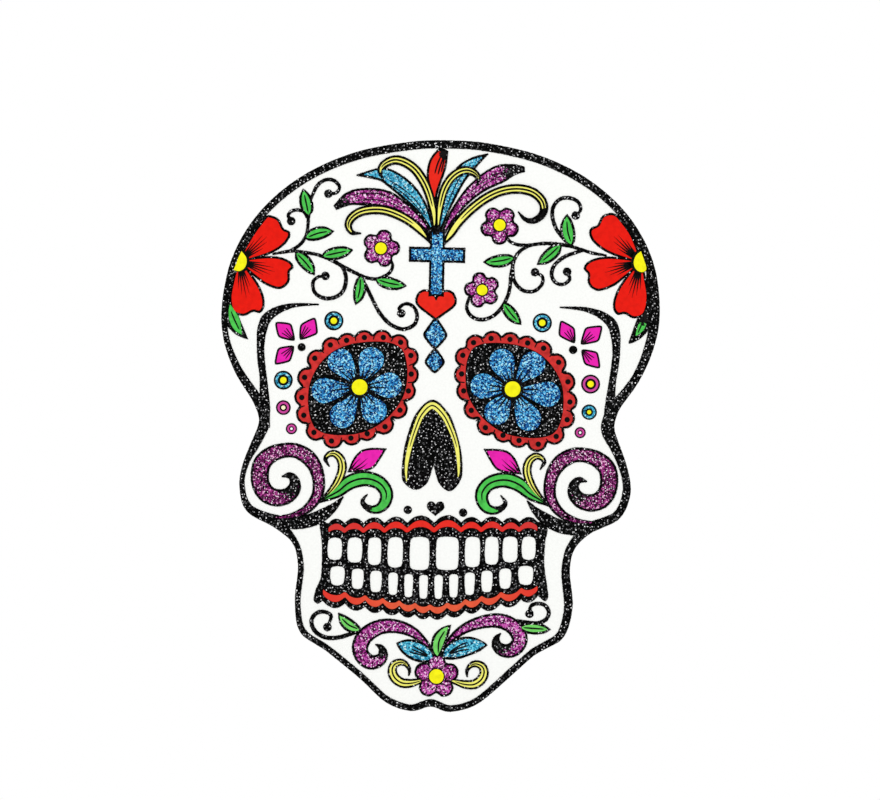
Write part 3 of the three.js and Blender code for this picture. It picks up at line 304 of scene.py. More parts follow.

# %% [markdown]
# ## Glitter
# Glitter is a coat of tiny mirror flakes in clear glue. Each flake lies at its own angle, so each
# has its own tone. Voronoi cells stand for the flakes: a random number in each cell picks one of a
# few tones, and the same numbers lean the surface to and fro. The tones are partly painted light:
# around the glitter's own colour, the light ones are painted glints and the dark ones painted
# shade, as if a flake were turned to or from the lamps. Where a colour runs out into black, black
# flakes are strewn in more and more thickly towards a named spot.

# %% Glitter finishes
FLAKE, FINE_FLAKE = 0.95, 0.85
FLAKE_LEAN = 0.5
# Each flake's own roughness, between the last two numbers, takes the place of the first
GLITTER_ROUGHNESS, SMOOTHEST, ROUGHEST = 0.4, 0.3, 0.6
INK = 3.7  # the colours' front faces stand this far off the wall
# Tones of each glitter, dark to light: its own colour, with painted shade at the dark end and
# painted glints at the light end
BLACK_TONES = tones((0, 1, 1, 1), (0.5, 5, 5, 5), (0.75, 16, 16, 16), (0.9, 40, 40, 41),
                    (0.97, 90, 90, 91))
BLUE_TONES = tones((0, 0, 18, 62), (0.24, 6, 62, 130), (0.46, 34, 118, 184),
                   (0.7, 86, 186, 236), (0.88, 172, 238, 254))
SKY_TONES = tones((0, 6, 64, 98), (0.2, 36, 126, 162), (0.45, 70, 178, 210),
                  (0.72, 112, 212, 236), (0.9, 204, 244, 250))
PURPLE_TONES = tones((0, 40, 0, 32), (0.2, 94, 8, 78), (0.4, 158, 44, 136),
                     (0.68, 208, 94, 184), (0.9, 248, 200, 238))
PLUM_TONES = tones((0, 20, 0, 14), (0.25, 66, 7, 52), (0.5, 108, 22, 88), (0.77, 168, 58, 136),
                   (0.93, 236, 168, 212))
# Where purple runs out into black: x, z, radius that is all black, radius where the black ends
PURPLE_FADES = [(-90, -38, 5, 11.5), (88.6, -37, 5, 11.5), (-66, 133.5, 6, 12), (51, 160, 10, 17),
                (-33, -139, 4, 8), (42, -132.5, 6, 10)]
# Tones, spots that run out into black, shine, width of a flake
GLITTERS = {"black_glitter": (BLACK_TONES, (), 0.02, FLAKE),
            "blue_glitter": (BLUE_TONES, (), 0.05, FINE_FLAKE),
            "sky_glitter": (SKY_TONES, (), 0.05, FINE_FLAKE),
            "purple_glitter": (PURPLE_TONES, PURPLE_FADES, 0.05, FLAKE),
            "plum_glitter": (PLUM_TONES, PURPLE_FADES, 0.05, FLAKE)}


def blackness(tree, spot, fades):
    """1 inside a fade's inner radius and 0 outside its outer one; the largest of all the fades."""
    most = 0.0
    for x, z, inner, outer in fades:
        away = calc(tree, "DISTANCE", spot, (x * MM, -INK * MM, z * MM), kind="VectorMath")
        reach = {"Value": away, "From Min": inner * MM, "From Max": outer * MM,
                 "To Min": 1.0, "To Max": 0.0}
        most = calc(tree, "MAXIMUM", most, add_node(tree, "MapRange", reach).outputs["Result"])
    return most


def lean_flakes(tree, shader, numbers, amount):
    """Adds each flake's random sideways vector to the surface direction, made one long again."""
    facing = add_node(tree, "NewGeometry").outputs["Normal"]
    spread, back = (amount,) * 3, (-amount / 2,) * 3
    aside = calc(tree, "MULTIPLY_ADD", numbers, spread, back, kind="VectorMath")
    leaning = calc(tree, "ADD", facing, aside, kind="VectorMath")
    straight = calc(tree, "NORMALIZE", leaning, kind="VectorMath")
    tree.links.new(straight, shader.inputs["Normal"])


def glitter_finish(name, palette, fades, shine, flake):
    """Cells of one flake each: the first random number picks a tone, the second says when the
    flake turns black, the third how rough it is."""
    material, tree, shader, spot = new_finish(name, GLITTER_ROUGHNESS, shine)
    cells = add_node(tree, "TexVoronoi", {"Vector": spot, "Scale": 1 / (flake * MM)})
    numbers = add_node(tree, "SeparateColor", {"Color": cells.outputs["Color"]}).outputs
    # The tone picked is partly painted light: a painted glint or painted shade for each flake
    colour = ramp(tree, numbers[0], palette)
    if fades:
        black = calc(tree, "GREATER_THAN", blackness(tree, spot, fades), numbers[1])
        colour = mixed(tree, black, colour, ramp(tree, numbers[0], BLACK_TONES))
    tree.links.new(colour, shader.inputs["Base Color"])
    gloss = {"Value": numbers[2], "To Min": SMOOTHEST, "To Max": ROUGHEST}
    own = add_node(tree, "MapRange", gloss).outputs["Result"]
    tree.links.new(own, shader.inputs["Roughness"])
    lean_flakes(tree, shader, cells.outputs["Color"], FLAKE_LEAN)
    return material


finishes.update({name: glitter_finish(name, *values) for name, values in GLITTERS.items()})
print("glitter finishes:", list(GLITTERS))

# %% [markdown]
# ## Ink
# The plain colours are screen printed: a thick satin ink with a slight orange-peel skin and patches
# where the squeegee left more or less of it. Some colours change along the print. Towards the sides
# the upper gum turns to a duller red and the lower one from orange to red, and a few red and green
# tips run out into black.

# %% Ink finishes
INK_ROUGHNESS = 0.38
PATCH_SIZE, GRAIN_SIZE, SKIN_SIZE, SKIN_DEPTH = 3.0, 1.1, 0.6, 0.06
DEEP_END, FULL_START = 0.3, 0.62  # noise of the deepest patches and of the full colour
GUM_MIDDLE, GUM_SIDE = 22, 62  # where the gums leave the tone of the middle and reach the other
SOOT = tint(16, 14, 14)
RED_FADES = [(4.2, 169.5, 3, 10)]
GREEN_FADES = [(-42.5, -48.5, 3.6, 7), (41.1, -47.5, 3.6, 7), (128, 72, 3, 11)]
INKS = {
    "red_ink": ((236, 26, 13), {"fades": RED_FADES}),
    "warm_red_ink": ((236, 40, 26), {"fades": RED_FADES}),
    "gum_red_ink": ((234, 46, 36), {"side_colour": (208, 54, 52)}),
    "rim_red_ink": ((214, 52, 50), {"patch": 0.6}),
    "orange_ink": ((232, 94, 62), {"side_colour": (226, 58, 46)}),
    "green_ink": ((80, 205, 84), {"fades": GREEN_FADES, "patch": 0.64}),
    "lime_ink": ((120, 220, 104), {"patch": 0.7}),
    "yellow_ink": ((252, 246, 24), {}),
    "pale_yellow_ink": ((250, 246, 118), {}),
    "cream_ink": ((253, 246, 204), {}),
    "pink_ink": ((238, 36, 178), {}),
    "soft_pink_ink": ((206, 72, 158), {}),
    "black_ink": ((10, 9, 10), {"shine": 0.04}),
}


def ink_finish(name, colour, fades=(), side_colour=None, shine=0.06, patch=0.86):
    """One colour with patches of a share of its light, a fine skin, and black or another colour
    where it runs out."""
    material, tree, shader, spot = new_finish(name, INK_ROUGHNESS, shine)
    light = tint(*colour)
    deep = (*[patch * part for part in light[:3]], 1.0)
    stops = [(DEEP_END, deep), (FULL_START, light)]
    shown = ramp(tree, noise(tree, spot, PATCH_SIZE), stops, "LINEAR")
    if side_colour:
        aside = calc(tree, "ABSOLUTE", add_node(tree, "SeparateXYZ", {0: spot}).outputs["X"])
        reach = {"Value": aside, "From Min": GUM_MIDDLE * MM, "From Max": GUM_SIDE * MM}
        aside = add_node(tree, "MapRange", reach).outputs["Result"]
        shown = mixed(tree, aside, shown, tint(*side_colour))
    if fades:
        grain = noise(tree, spot, GRAIN_SIZE, 2.0)
        black = calc(tree, "GREATER_THAN", blackness(tree, spot, fades), grain)
        shown = mixed(tree, black, shown, SOOT)
    tree.links.new(shown, shader.inputs["Base Color"])
    emboss(tree, shader, noise(tree, spot, SKIN_SIZE, 2.0), SKIN_DEPTH)
    return material


finishes.update({name: ink_finish(name, colour, **more) for name, (colour, more) in INKS.items()})
print("finishes:", len(finishes))

# %% [markdown]
# ## Reading an outline
# Every solid is a flat plate, so its front face tells all: the edges that belong to one triangle
# only are the outline. Each edge points to the next, and jumping twice as far at every step orders
# a whole loop with a dozen array operations instead of a walk from point to point.

# %% Outlines of the solids
FLAT = 0.02  # points this close to the front count as lying on it
BLOCK = 1000  # spots looked at in one go


def in_order(after):
    """Points of all loops in order, and where each loop starts. Every point learns the smallest
    point of its loop and its distance to it by doubling its jump, and sorting by both puts each
    loop in a row."""
    count = len(after)
    rounds = int(np.ceil(np.log2(count))) + 1
    leader, jump = np.arange(count), after.copy()
    for _ in range(rounds):
        leader, jump = np.minimum(leader, leader[jump]), jump[jump]
    first = leader == np.arange(count)
    jump = np.where(first, np.arange(count), after)
    left = np.where(first, 0, 1)
    for _ in range(rounds):
        left, jump = left + left[jump], jump[jump]
    left = np.where(first, count, left)
    order = np.lexsort((-left, leader))
    return order, np.flatnonzero(first[order])


def front_loops(node):
    """The outline loops of a solid's front face as x, z in millimetres, outside first."""
    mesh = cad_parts[node].data
    points = np.empty(len(mesh.vertices) * 3)
    mesh.vertices.foreach_get("co", points)
    points = points.reshape(-1, 3) / MM
    mesh.calc_loop_triangles()
    corners = np.empty(len(mesh.loop_triangles) * 3, np.int32)
    mesh.loop_triangles.foreach_get("vertices", corners)
    corners = corners.reshape(-1, 3)
    in_front = (points[:, 1] < points[:, 1].min() + FLAT)[corners].all(1)
    spots, same = np.unique(np.round(points[:, [0, 2]], 3), axis=0, return_inverse=True)
    corners = same.reshape(-1)[corners[in_front]]
    edges = np.concatenate([corners[:, [0, 1]], corners[:, [1, 2]], corners[:, [2, 0]]])
    forth, back = edges @ (len(spots), 1), edges @ (1, len(spots))
    used, ends = np.unique(edges[~np.isin(forth, back)], return_inverse=True)
    ends = ends.reshape(-1, 2)
    after = np.zeros(len(used), int)
    after[ends[:, 0]] = ends[:, 1]
    order, starts = in_order(after)
    loops = np.split(spots[used][order], starts[1:])
    return sorted(loops, key=lambda loop: -area(loop))


def area(loop):
    """Area inside a loop, negative where it runs clockwise: half the sum of the cross products of
    its edges."""
    ahead = np.roll(loop, -1, 0)
    return 0.5 * float(np.sum(loop[:, 0] * ahead[:, 1] - loop[:, 1] * ahead[:, 0]))


def inside(spots, loops):
    """Whether each spot lies inside: a level line from it crosses the loops an odd number of
    times."""
    start = np.concatenate(loops)
    stop = np.concatenate([np.roll(loop, -1, 0) for loop in loops])
    rise = np.where(stop[:, 1] == start[:, 1], 1.0, stop[:, 1] - start[:, 1])
    slope = (stop[:, 0] - start[:, 0]) / rise
    crossed = []
    for block in np.array_split(spots, len(spots) // BLOCK + 1):
        x, z = block[:, :1], block[:, 1:]
        spans = (start[:, 1] > z) != (stop[:, 1] > z)
        crossed.append((spans & (start[:, 0] + (z - start[:, 1]) * slope > x)).sum(1))
    return np.concatenate(crossed) % 2 == 1


print("outline of the face:", [len(loop) for loop in front_loops("face_sheet")], "points")

# %% [markdown]
# ## Smooth outlines
# The solids are drawn with short chords. A printed line has none, so each chord becomes a cubic
# curve. It leaves a point along the line between that point's two neighbours, and only true corners
# keep their two directions. The curve is then measured and dotted evenly, about twice a millimetre.
# An outline that moves out or in loses the points of its sharpest corners, which have no room.

# %% Smoothing
CORNER = math.radians(62)
STEP = 0.55
FINE = 8  # points on each cubic before it is dotted evenly
LEAST_DOTS = 16
CLEAR = 0.4  # share of a step that stays free of dots beside a corner
MITRE = 0.45  # keeps the step out of a sharp corner short
ROOM = 0.9  # share of its depth that a moved point has to keep
EDGE_BLOCK = 60  # spots measured in one go


def unit(vectors):
    """Vectors made one long."""
    return vectors / np.maximum(np.linalg.norm(vectors, axis=-1, keepdims=True), 1e-9)


def smooth_loop(loop, step=STEP):
    """Hermite cubics through the points of a closed loop, dotted evenly along their length, with
    the corners kept."""
    loop = np.asarray(loop, float)
    before, after = np.roll(loop, 1, 0), np.roll(loop, -1, 0)
    arrive, leave = unit(loop - before), unit(after - loop)
    cross = arrive[:, 0] * leave[:, 1] - arrive[:, 1] * leave[:, 0]
    corner = np.abs(np.arctan2(cross, np.sum(arrive * leave, 1))) > CORNER
    through = unit(after - before)
    chord = np.linalg.norm(after - loop, axis=1)[:, None]
    start = np.where(corner[:, None], leave, through) * chord
    stop = np.where(np.roll(corner, -1)[:, None], leave, np.roll(through, -1, 0)) * chord
    t = (np.arange(FINE) / FINE)[None, :, None]
    ends = (1 + 2 * t) * (1 - t) ** 2 * loop[:, None] + t * t * (3 - 2 * t) * after[:, None]
    curve = ends + t * (1 - t) ** 2 * start[:, None] - t * t * (1 - t) * stop[:, None]
    curve = np.concatenate([curve.reshape(-1, 2), loop[:1]])
    length = np.concatenate([[0], np.cumsum(np.linalg.norm(np.diff(curve, axis=0), axis=1))])
    count = max(LEAST_DOTS, round(length[-1] / step))
    dots = np.linspace(0, length[-1], count, endpoint=False)
    fixed = length[:-1][::FINE][corner]
    if len(fixed):
        gap = np.abs(dots[:, None] - fixed[None, :])
        clear = np.minimum(gap, length[-1] - gap).min(1) > step * CLEAR
        dots = np.sort(np.concatenate([dots[clear], fixed]))
    return np.stack([np.interp(dots, length, curve[:, axis]) for axis in (0, 1)], 1)


def outward(loop):
    """A step out of the material at each point: the two edge directions turned right and mitred."""
    arrive, leave = unit(loop - np.roll(loop, 1, 0)), unit(np.roll(loop, -1, 0) - loop)
    both = np.stack([arrive[:, 1] + leave[:, 1], -arrive[:, 0] - leave[:, 0]], 1)
    return both / np.maximum(np.sum(both * both, 1, keepdims=True) / 2, MITRE)


def gap_to(spots, loop):
    """Distance from each spot to the nearest edge of a loop: the spot less its foot on every
    edge."""
    edge = np.roll(loop, -1, 0) - loop
    square = np.maximum(np.sum(edge * edge, 1), 1e-12)
    nearest = []
    for block in np.array_split(spots, len(spots) // EDGE_BLOCK + 1):
        away = block[:, None] - loop[None]
        along = np.clip(np.sum(away * edge, 2) / square, 0, 1)
        nearest.append(np.linalg.norm(away - along[..., None] * edge, axis=2).min(1))
    return np.concatenate(nearest)


def can_move(loop, depth):
    """Which points of a loop can step out by a depth, or in by a negative one, and end that far
    from the loop on the side they stepped to, without turning round the edge to the next point."""
    moved = loop + depth * outward(loop)
    same_side = inside(moved, [loop]) == ((depth < 0) == (area(loop) > 0))
    onward = np.sum((np.roll(moved, -1, 0) - moved) * (np.roll(loop, -1, 0) - loop), 1) > 0
    return same_side & onward & (gap_to(moved, loop) > ROOM * abs(depth))


def shifted(loop, depth):
    """A loop moved out by a depth, or in by a negative one, less the points that can't follow."""
    return (loop + depth * outward(loop))[can_move(loop, depth)]


smoothed = [smooth_loop(loop) for loop in front_loops("face_sheet")]
print("smoothed face outline:", [len(loop) for loop in smoothed], "points")

# %% [markdown]
# ## Plates
# Every layer of the print is a thin plate: its edge is a small profile, a wall and a rounded
# shoulder, carried round the outline, and flat caps close it at the top and the bottom. One
# function makes them all, from the card itself to the finest hairline.

# %% Plate maker
BEAD = 0.15  # radius of the shoulder
BEND_POINTS = 4
INSIDE_ONLY, TOUCH = 1, 1e-5  # options of the net: keep what the loops enclose, join what touches


def plate(loops, base, top, bead=BEAD):
    """Points in metres, wall faces, and cap faces with the top ones first. The profile goes up the
    wall and a quarter circle of radius bead inwards, once round every loop. The caps fill the
    outline less its holes."""
    bend = np.linspace(0, np.pi / 2, BEND_POINTS)
    inset = np.concatenate([[0], bead * (1 - np.cos(bend))])
    level = np.concatenate([[base], top - bead + bead * np.sin(bend)])
    rows = len(level)
    points, walls, lids, first = [], [], [], 0
    for loop in loops:
        loop = loop[can_move(loop, -bead)]
        count = len(loop)
        rings = loop[None] - inset[:, None, None] * outward(loop)[None]
        height = np.broadcast_to(-level[:, None], rings.shape[:2])
        points.append(np.stack([rings[..., 0], height, rings[..., 1]], -1).reshape(-1, 3))
        walls.append(first + band_faces(rows, count))
        lids.append(first + np.arange(count) + (rows - 1) * count)
        first += rows * count
    points, walls = np.concatenate(points), np.concatenate(walls)
    caps = lid_faces(points, lids)
    fall = np.zeros(len(points), int)
    for lid in lids:
        fall[lid] = (rows - 1) * len(lid)
    floors = (caps - fall[caps])[:, ::-1]
    return points * MM, walls, np.concatenate([caps, floors])


def lid_faces(points, lids):
    """Triangles over the lid's loops, turned towards the front: a Delaunay net that keeps the
    loops' edges, less the triangles whose middle lies in a hole. Where two edges cross, the nearest
    point stands in."""
    loops = [points[lid][:, [0, 2]] for lid in lids]
    flat = np.concatenate(loops)
    starts = np.cumsum([0] + [len(lid) for lid in lids])
    after = [start + np.roll(np.arange(len(lid)), -1) for start, lid in zip(starts, lids)]
    edges = np.stack([np.arange(len(flat)), np.concatenate(after)], 1)
    spots = [Vector(spot) for spot in flat.tolist()]
    made = delaunay_2d_cdt(spots, edges.tolist(), [], INSIDE_ONLY, TOUCH)
    net, faces, sources = np.array(made[0]), np.array(made[2]), made[3]
    if len(loops) > 1:
        faces = faces[inside(net[faces].mean(1), loops)]
    known = np.array([source[0] if source else -1 for source in sources])
    lost = np.flatnonzero(known < 0)
    known[lost] = np.linalg.norm(net[lost, None] - flat[None], axis=2).argmin(1)
    corners = known[faces]
    return np.concatenate(lids)[corners[(corners != np.roll(corners, 1, 1)).all(1)]]


def make_piece(name, parts, finish, nodes=()):
    """Joins plates into one mesh that rides on the card and stands for the solids in nodes."""
    shift = np.cumsum([0] + [len(points) for points, _, _ in parts])
    points = np.concatenate([part[0] for part in parts])
    walls = np.concatenate([part[1] + start for part, start in zip(parts, shift)])
    caps = np.concatenate([part[2] + start for part, start in zip(parts, shift)])
    mesh = bpy.data.meshes.new(name)
    mesh.from_pydata(points.tolist(), [], walls.tolist() + caps.tolist())
    mesh.polygons.foreach_set("use_smooth", np.arange(len(mesh.polygons)) < len(walls))
    mesh.materials.append(finishes[finish])
    piece = add_object(name, mesh)
    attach(piece, "root")
    if nodes:
        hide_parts(*nodes)
    return piece


def levels(node):
    """How far a solid's back and front stand off the wall, in millimetres."""
    low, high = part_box(node)
    return -high[1] / MM, -low[1] / MM


print("plate of the face:", len(plate(smoothed, *levels("face_sheet"))[0]), "points")

# %% [markdown]
# ## The card
# Three sheets glued together and cut in one go. The cut leaves the soft core a hair behind the two
# hard sheets.

# %% Card pieces
BOX = [(cad_low[axis] / MM, cad_high[axis] / MM) for axis in (0, 2)]
# Finish of each sheet, and how far its edge stands out
CARD = {"back_sheet": ("back_sheet", 0.0), "core_board": ("core_card", -0.08),
        "face_sheet": ("white_sheet", 0.0)}
STROKE_BEAD = 0.1


def inside_box(loop):
    """A loop held inside the box of the solids."""
    return np.stack([np.clip(loop[:, k], *BOX[k]) for k in (0, 1)], 1)


for node, (finish, grow) in CARD.items():
    loops = [smooth_loop(loop) for loop in front_loops(node)]
    loops = [inside_box(loop + grow * outward(loop)) for loop in loops]
    sheet = plate(loops, *levels(node), STROKE_BEAD)
    piece = make_piece(f"{node}_card", [sheet], finish, nodes=[node])
    print(piece.name, len(piece.data.polygons), "faces")

# %% [markdown]
# ## The printed layers
# Each colour lies on the card as its own coat. Glitter has a ragged edge, because flakes stop
# anywhere, so its outline is shaken a little with seeded random numbers. Black coats are spread by
# half the gap that the solids keep between them, so that neighbouring black lines run together as
# they do in print. The colours are drawn back instead, so that more of the black shows round them.

# %% Printed coats
SPREAD = 0.15
RAGGED = 0.07
TRIM = 0.22  # how far a colour is drawn back from its edge
TRIMS = {"upper_gum": 0.5, "lower_gum": 0.5}
LEAST_HOLE = 3  # square millimetres
chance = np.random.default_rng(11)


def sides(name):
    """The names of the left and the right solid of a pair."""
    return [f"left_{name}", f"right_{name}"]


BLACK = ["border_line", "mouth_ground", *sides("eye_ground"), "nose_ground", "crest_ground",
         *sides("temple_ground"), *sides("vine"), *sides("cheek_ground"), "chin_ground",
         "lip_heart"]
COATS = {
    "black_glitter": BLACK,
    "blue_glitter": [*sides("eye_petals"), "cross", "upper_drop", "lower_drop",
                     *sides("blue_feather")],
    "purple_glitter": [*sides("purple_feather"), "left_flower", "right_upper_flower",
                       "right_lower_flower", *sides("cheek_spiral"), *sides("chin_scroll"),
                       "chin_flower"],
    "red_ink": [*sides("eye_rim"), "crest_heart", "red_feather", *sides("temple_petals"),
                "upper_gum"],
    "orange_ink": ["lower_gum"],
    "green_ink": sides("cheek_swoosh"),
    "yellow_ink": sides("eye_centre"),
}
# Coats in another tone of their colour
OTHER_TONES = {"rim_red_ink": sides("eye_rim"), "gum_red_ink": ["upper_gum"],
               "warm_red_ink": ["crest_heart", "red_feather"],
               "plum_glitter": sides("cheek_spiral"), "sky_glitter": sides("blue_feather")}
shown_as = {node: tone for tone, nodes in OTHER_TONES.items() for node in nodes}


def coat_loops(node, finish):
    """A solid's outline: spread a little for black, drawn back for a colour, ragged for glitter.
    The smallest holes run full of ink."""
    loops = [smooth_loop(loop) for loop in front_loops(node) if abs(area(loop)) > LEAST_HOLE]
    reach = SPREAD if finish == "black_glitter" else -TRIMS.get(node, TRIM)
    loops = [shifted(loop, reach) for loop in loops]
    if "glitter" not in finish:
        return loops
    shake = [chance.normal(0, RAGGED, (len(loop), 1)) for loop in loops]
    return [inside_box(loop + outward(loop) * step) for loop, step in zip(loops, shake)]


edges = {}
for finish, nodes in COATS.items():
    for node in nodes:
        edges[node] = coat_loops(node, finish)
        coat = plate(edges[node], *levels(node))
        make_piece(f"{node}_coat", [coat], shown_as.get(node, finish), [node])
    print(finish, "on", len(nodes), "coats,", sum(len(edges[node]) for node in nodes), "loops")

# %% [markdown]
# ## Small figures
# Plumes, leaves, dots and hairlines are too small for solids of their own. Each is drawn as an
# outline and made a plate like the rest: a stroke is a curved midline with a width to either side,
# a leaf is a stroke whose width rises and falls as a parabola, and a dot is a circle.

# %% Outline makers
GROUND = 3.4  # top of the black grounds
KEYLINE = 1.2  # black left showing round a colour
LEAF_TRIM = 1.25 * KEYLINE
LEAST_HALF, LEAF_END = 0.14, 0.05  # a stroke and a leaf end where half their width is less
HAIR_END, SPIKE_END = 0.05, 0.04  # half widths of the two thin lines at their points
HAIR_SAMPLES, SPIKE_SAMPLES, LEAF_SAMPLES = 12, 24, 60  # a hair has its number per point
HAIR = 0.06  # height of a hairline
hairs = []


def midline(route, samples=140):
    """Catmull-Rom curve through rows of x, z and maybe a width: each stretch is the cubic through
    its two ends that leaves each end along the line between that end's neighbours."""
    rows = np.array(route, float)
    rows = np.concatenate([2 * rows[:1] - rows[1:2], rows, 2 * rows[-1:] - rows[-2:-1]])
    along = np.linspace(0, len(rows) - 3, samples)
    first = np.minimum(along.astype(int), len(rows) - 4)
    t = (along - first)[:, None]
    a, b, c, d = (rows[first + k] for k in range(4))
    cubic = (2 * a - 5 * b + 4 * c - d) * t ** 2 + (3 * b - a - 3 * c + d) * t ** 3
    return 0.5 * (2 * b + (c - a) * t + cubic)


def two_sided(middle, half):
    """Closed outline half a width to the right of a midline on the way out and to its left on the
    way back."""
    along = unit(np.gradient(middle, axis=0))
    aside = np.stack([along[:, 1], -along[:, 0]], 1) * half[:, None]
    return np.concatenate([middle + aside, (middle - aside)[::-1]])


def stroke_loop(route, trim=0.0):
    """A stroke less trim on either side, kept only where some width is left."""
    rows = midline(route)
    half = rows[:, 2] / 2 - trim
    wide = half > LEAST_HALF
    return two_sided(rows[wide, :2], half[wide])


def hair_loop(route, width, start=0.0, stop=1.0):
    """A thin line along a share of a route, pointed at both ends: its half width is a flattened
    half circle."""
    rows = midline(route, HAIR_SAMPLES * len(route))
    rows = rows[int(start * len(rows)):int(stop * len(rows))]
    t = np.linspace(-1, 1, len(rows))
    return two_sided(rows[:, :2], HAIR_END + width / 2 * np.sqrt(1 - t ** 4))


def spike_loop(route, width):
    """A line that is widest where it starts: its half width falls evenly to a point."""
    rows = midline(route, SPIKE_SAMPLES)
    return two_sided(rows[:, :2], SPIKE_END + width / 2 * np.linspace(1, 0, len(rows)))


def leaf_axis(base, tip):
    """A leaf's base, the way to its tip, and a step of one to the left of it."""
    base, way = np.array(base), np.array(tip) - np.array(base)
    return base, way, np.array([-way[1], way[0]]) / np.linalg.norm(way)


def leaf_loop(base, tip, width, bend):
    """A leaf: a midline that bows by bend to the left, with a half width of 4 t (1 - t) times half
    the width, less a trim for the black round it. It runs to the tip as a cubic of t with handles
    at a tenth and at three quarters of the way."""
    base, way, left = leaf_axis(base, tip)
    t = np.linspace(0, 1, LEAF_SAMPLES)
    bow = 4 * t * (1 - t)
    run = 0.3 * (1 - t) ** 2 * t + 2.25 * (1 - t) * t ** 2 + t ** 3
    middle = base + run[:, None] * way + bow[:, None] * bend * left
    half = width / 2 * bow - LEAF_TRIM
    wide = half > LEAF_END
    return two_sided(middle[wide], half[wide])


def rib(base, tip, bend, start, stop, aside=0.0):
    """A straight or bowed line of three points in a leaf, from one share of its length to
    another."""
    base, way, left = leaf_axis(base, tip)
    t = np.array([start, (start + stop) / 2, stop])
    return base + t[:, None] * way + (4 * t * (1 - t) * bend + aside * t)[:, None] * left


def disc_loop(x, z, radius, points=40):
    """A circle, anticlockwise, or another round outline where each point has its own radius."""
    angle = np.linspace(0, 2 * np.pi, points, endpoint=False)
    return np.stack([x + radius * np.cos(angle), z + radius * np.sin(angle)], 1)


def mirrored(rows, line=0.0, shift=(0.0, 0.0)):
    """Rows of x, z and more, mirrored about an upright line and shifted."""
    rows = np.array(rows, float)
    rows[:, 0] = 2 * line - rows[:, 0] + shift[0]
    rows[:, 1] += shift[1]
    return rows


def plates(loops, base, top, bead=STROKE_BEAD):
    """A plate for each loop."""
    return [plate([loop], base, top, bead) for loop in loops]


def add_hairs(lines, *shape, make=hair_loop, level=INK):
    """Keeps a black hairline on a level of the print for each line, to be joined at the end."""
    hairs.extend(plates([make(line, *shape) for line in lines], level, level + HAIR, HAIR / 2))


print("leaf outline:", len(leaf_loop((0, 0), (20, 0), 8, 0)), "points")

# %% [markdown]
# ## Plumes, sprigs and hooks
# The thin yellow plumes of the crest pass over the broad feathers, each with a black line on either
# side and one along its middle. So a plume is three plates, one on the other: a black base, a
# yellow band, a black hair. The sprigs on the cheeks and the hooks on the chin lie on black ground
# already and need only the last two. Three black seams close the slits beside the right temple
# flower and between two feathers.

# %% Yellow strokes
PLUMES = [
    [(-4, 118, 2), (-4.5, 130, 4.5), (-6, 137, 5.2), (-8.5, 145, 5.6), (-12, 152, 5.8),
     (-17, 158.5, 5.8), (-23, 162.5, 5.8), (-29, 164, 5.6), (-34, 162.5, 5.2), (-37.5, 159.5, 4.4),
     (-38.3, 155.5, 3), (-36, 151, 0.8)],
    [(-2, 118, 2), (-1.5, 130, 4.2), (-0.5, 138, 5.2), (1.5, 146, 5.6), (5, 152.5, 5.6),
     (10, 157, 5.6), (15, 158.5, 5.4), (19, 157.5, 4.8), (22, 155, 3.8), (22.5, 152, 2.4),
     (21, 149, 0.6)],
    [(-6, 113, 1.5), (-13, 121, 5), (-20, 126.5, 5.6), (-28, 130.5, 5.8), (-36, 132.8, 5.8),
     (-44, 132.8, 5.8), (-51, 131, 5.6), (-56, 127, 5.2), (-57.5, 122.5, 4.4), (-55, 118.5, 3),
     (-49.5, 118, 0.6)],
    [(1.5, 112, 1.5), (6, 119, 5), (11, 126.5, 5.6), (18, 134, 5.8), (26, 140.5, 5.8),
     (34, 145, 5.8), (42, 147.3, 5.8), (50, 147.5, 5.8), (57, 145.5, 5.6), (62, 141, 5.4),
     (63.6, 136, 5), (62, 131.5, 4.4), (57, 128.2, 3.6), (52, 129, 2.4), (47.6, 133.5, 0.6)],
]
BLACK_FROM = 11  # the last plume is all black from this point on
SPRIG = [(-72, -48.5, 1.6), (-68.5, -46, 2.6), (-65, -42.5, 3.8), (-61, -37, 5), (-58.5, -31, 5.4),
         (-58, -26, 5.4), (-59.5, -21.5, 5), (-63, -18.8, 4.4), (-66.5, -19.5, 3.4),
         (-68.6, -22.5, 2.2), (-66, -27, 0.6)]
HOOK = [(-2, -157.5, 2), (-6.5, -158.5, 3.6), (-12, -160, 5), (-18, -160, 5.8), (-22.5, -157, 6),
        (-24.3, -152.5, 5.6), (-23, -148.8, 5), (-19, -147.2, 4.2), (-15.5, -148.7, 3),
        (-13.6, -152, 2), (-14, -155.5, 0.6)]
TAIL = [(-99, -59.2, 0.5), (-94, -58.9, 1.2), (-88, -57.9, 2), (-82, -55.5, 3.4)]
SEAMS = [[(110, 132, 0.5), (114.3, 127.5, 1.8), (119.3, 120.5, 2.2), (123.6, 112.5, 1.8),
          (126, 106.5, 0.6)],
         [(128.3, 101, 1.2), (129.2, 92, 2.6), (130, 84, 2.8), (130.6, 74, 1.6)],
         [(-27.5, 143.3, 0.8), (-21.5, 138.6, 1.8), (-15, 132.7, 1.4)]]
CHEEK_SHIFT = (-1.4, 1.0)  # from the mirror image of the left cheek to the right one
HOOK_LINE = 4.2
PLUME_BASE, PLUME_BAND, SEAM_TOP = 3.76, 3.88, GROUND - 0.05
PLUME_LINE = 1.4  # black left showing on either side of a plume
# Width of a hair and the shares of its route where it starts and stops
PLUME_HAIR, CURL_HAIR = (1.1, 0.16, 0.84), (0.9, 0.1, 0.8)

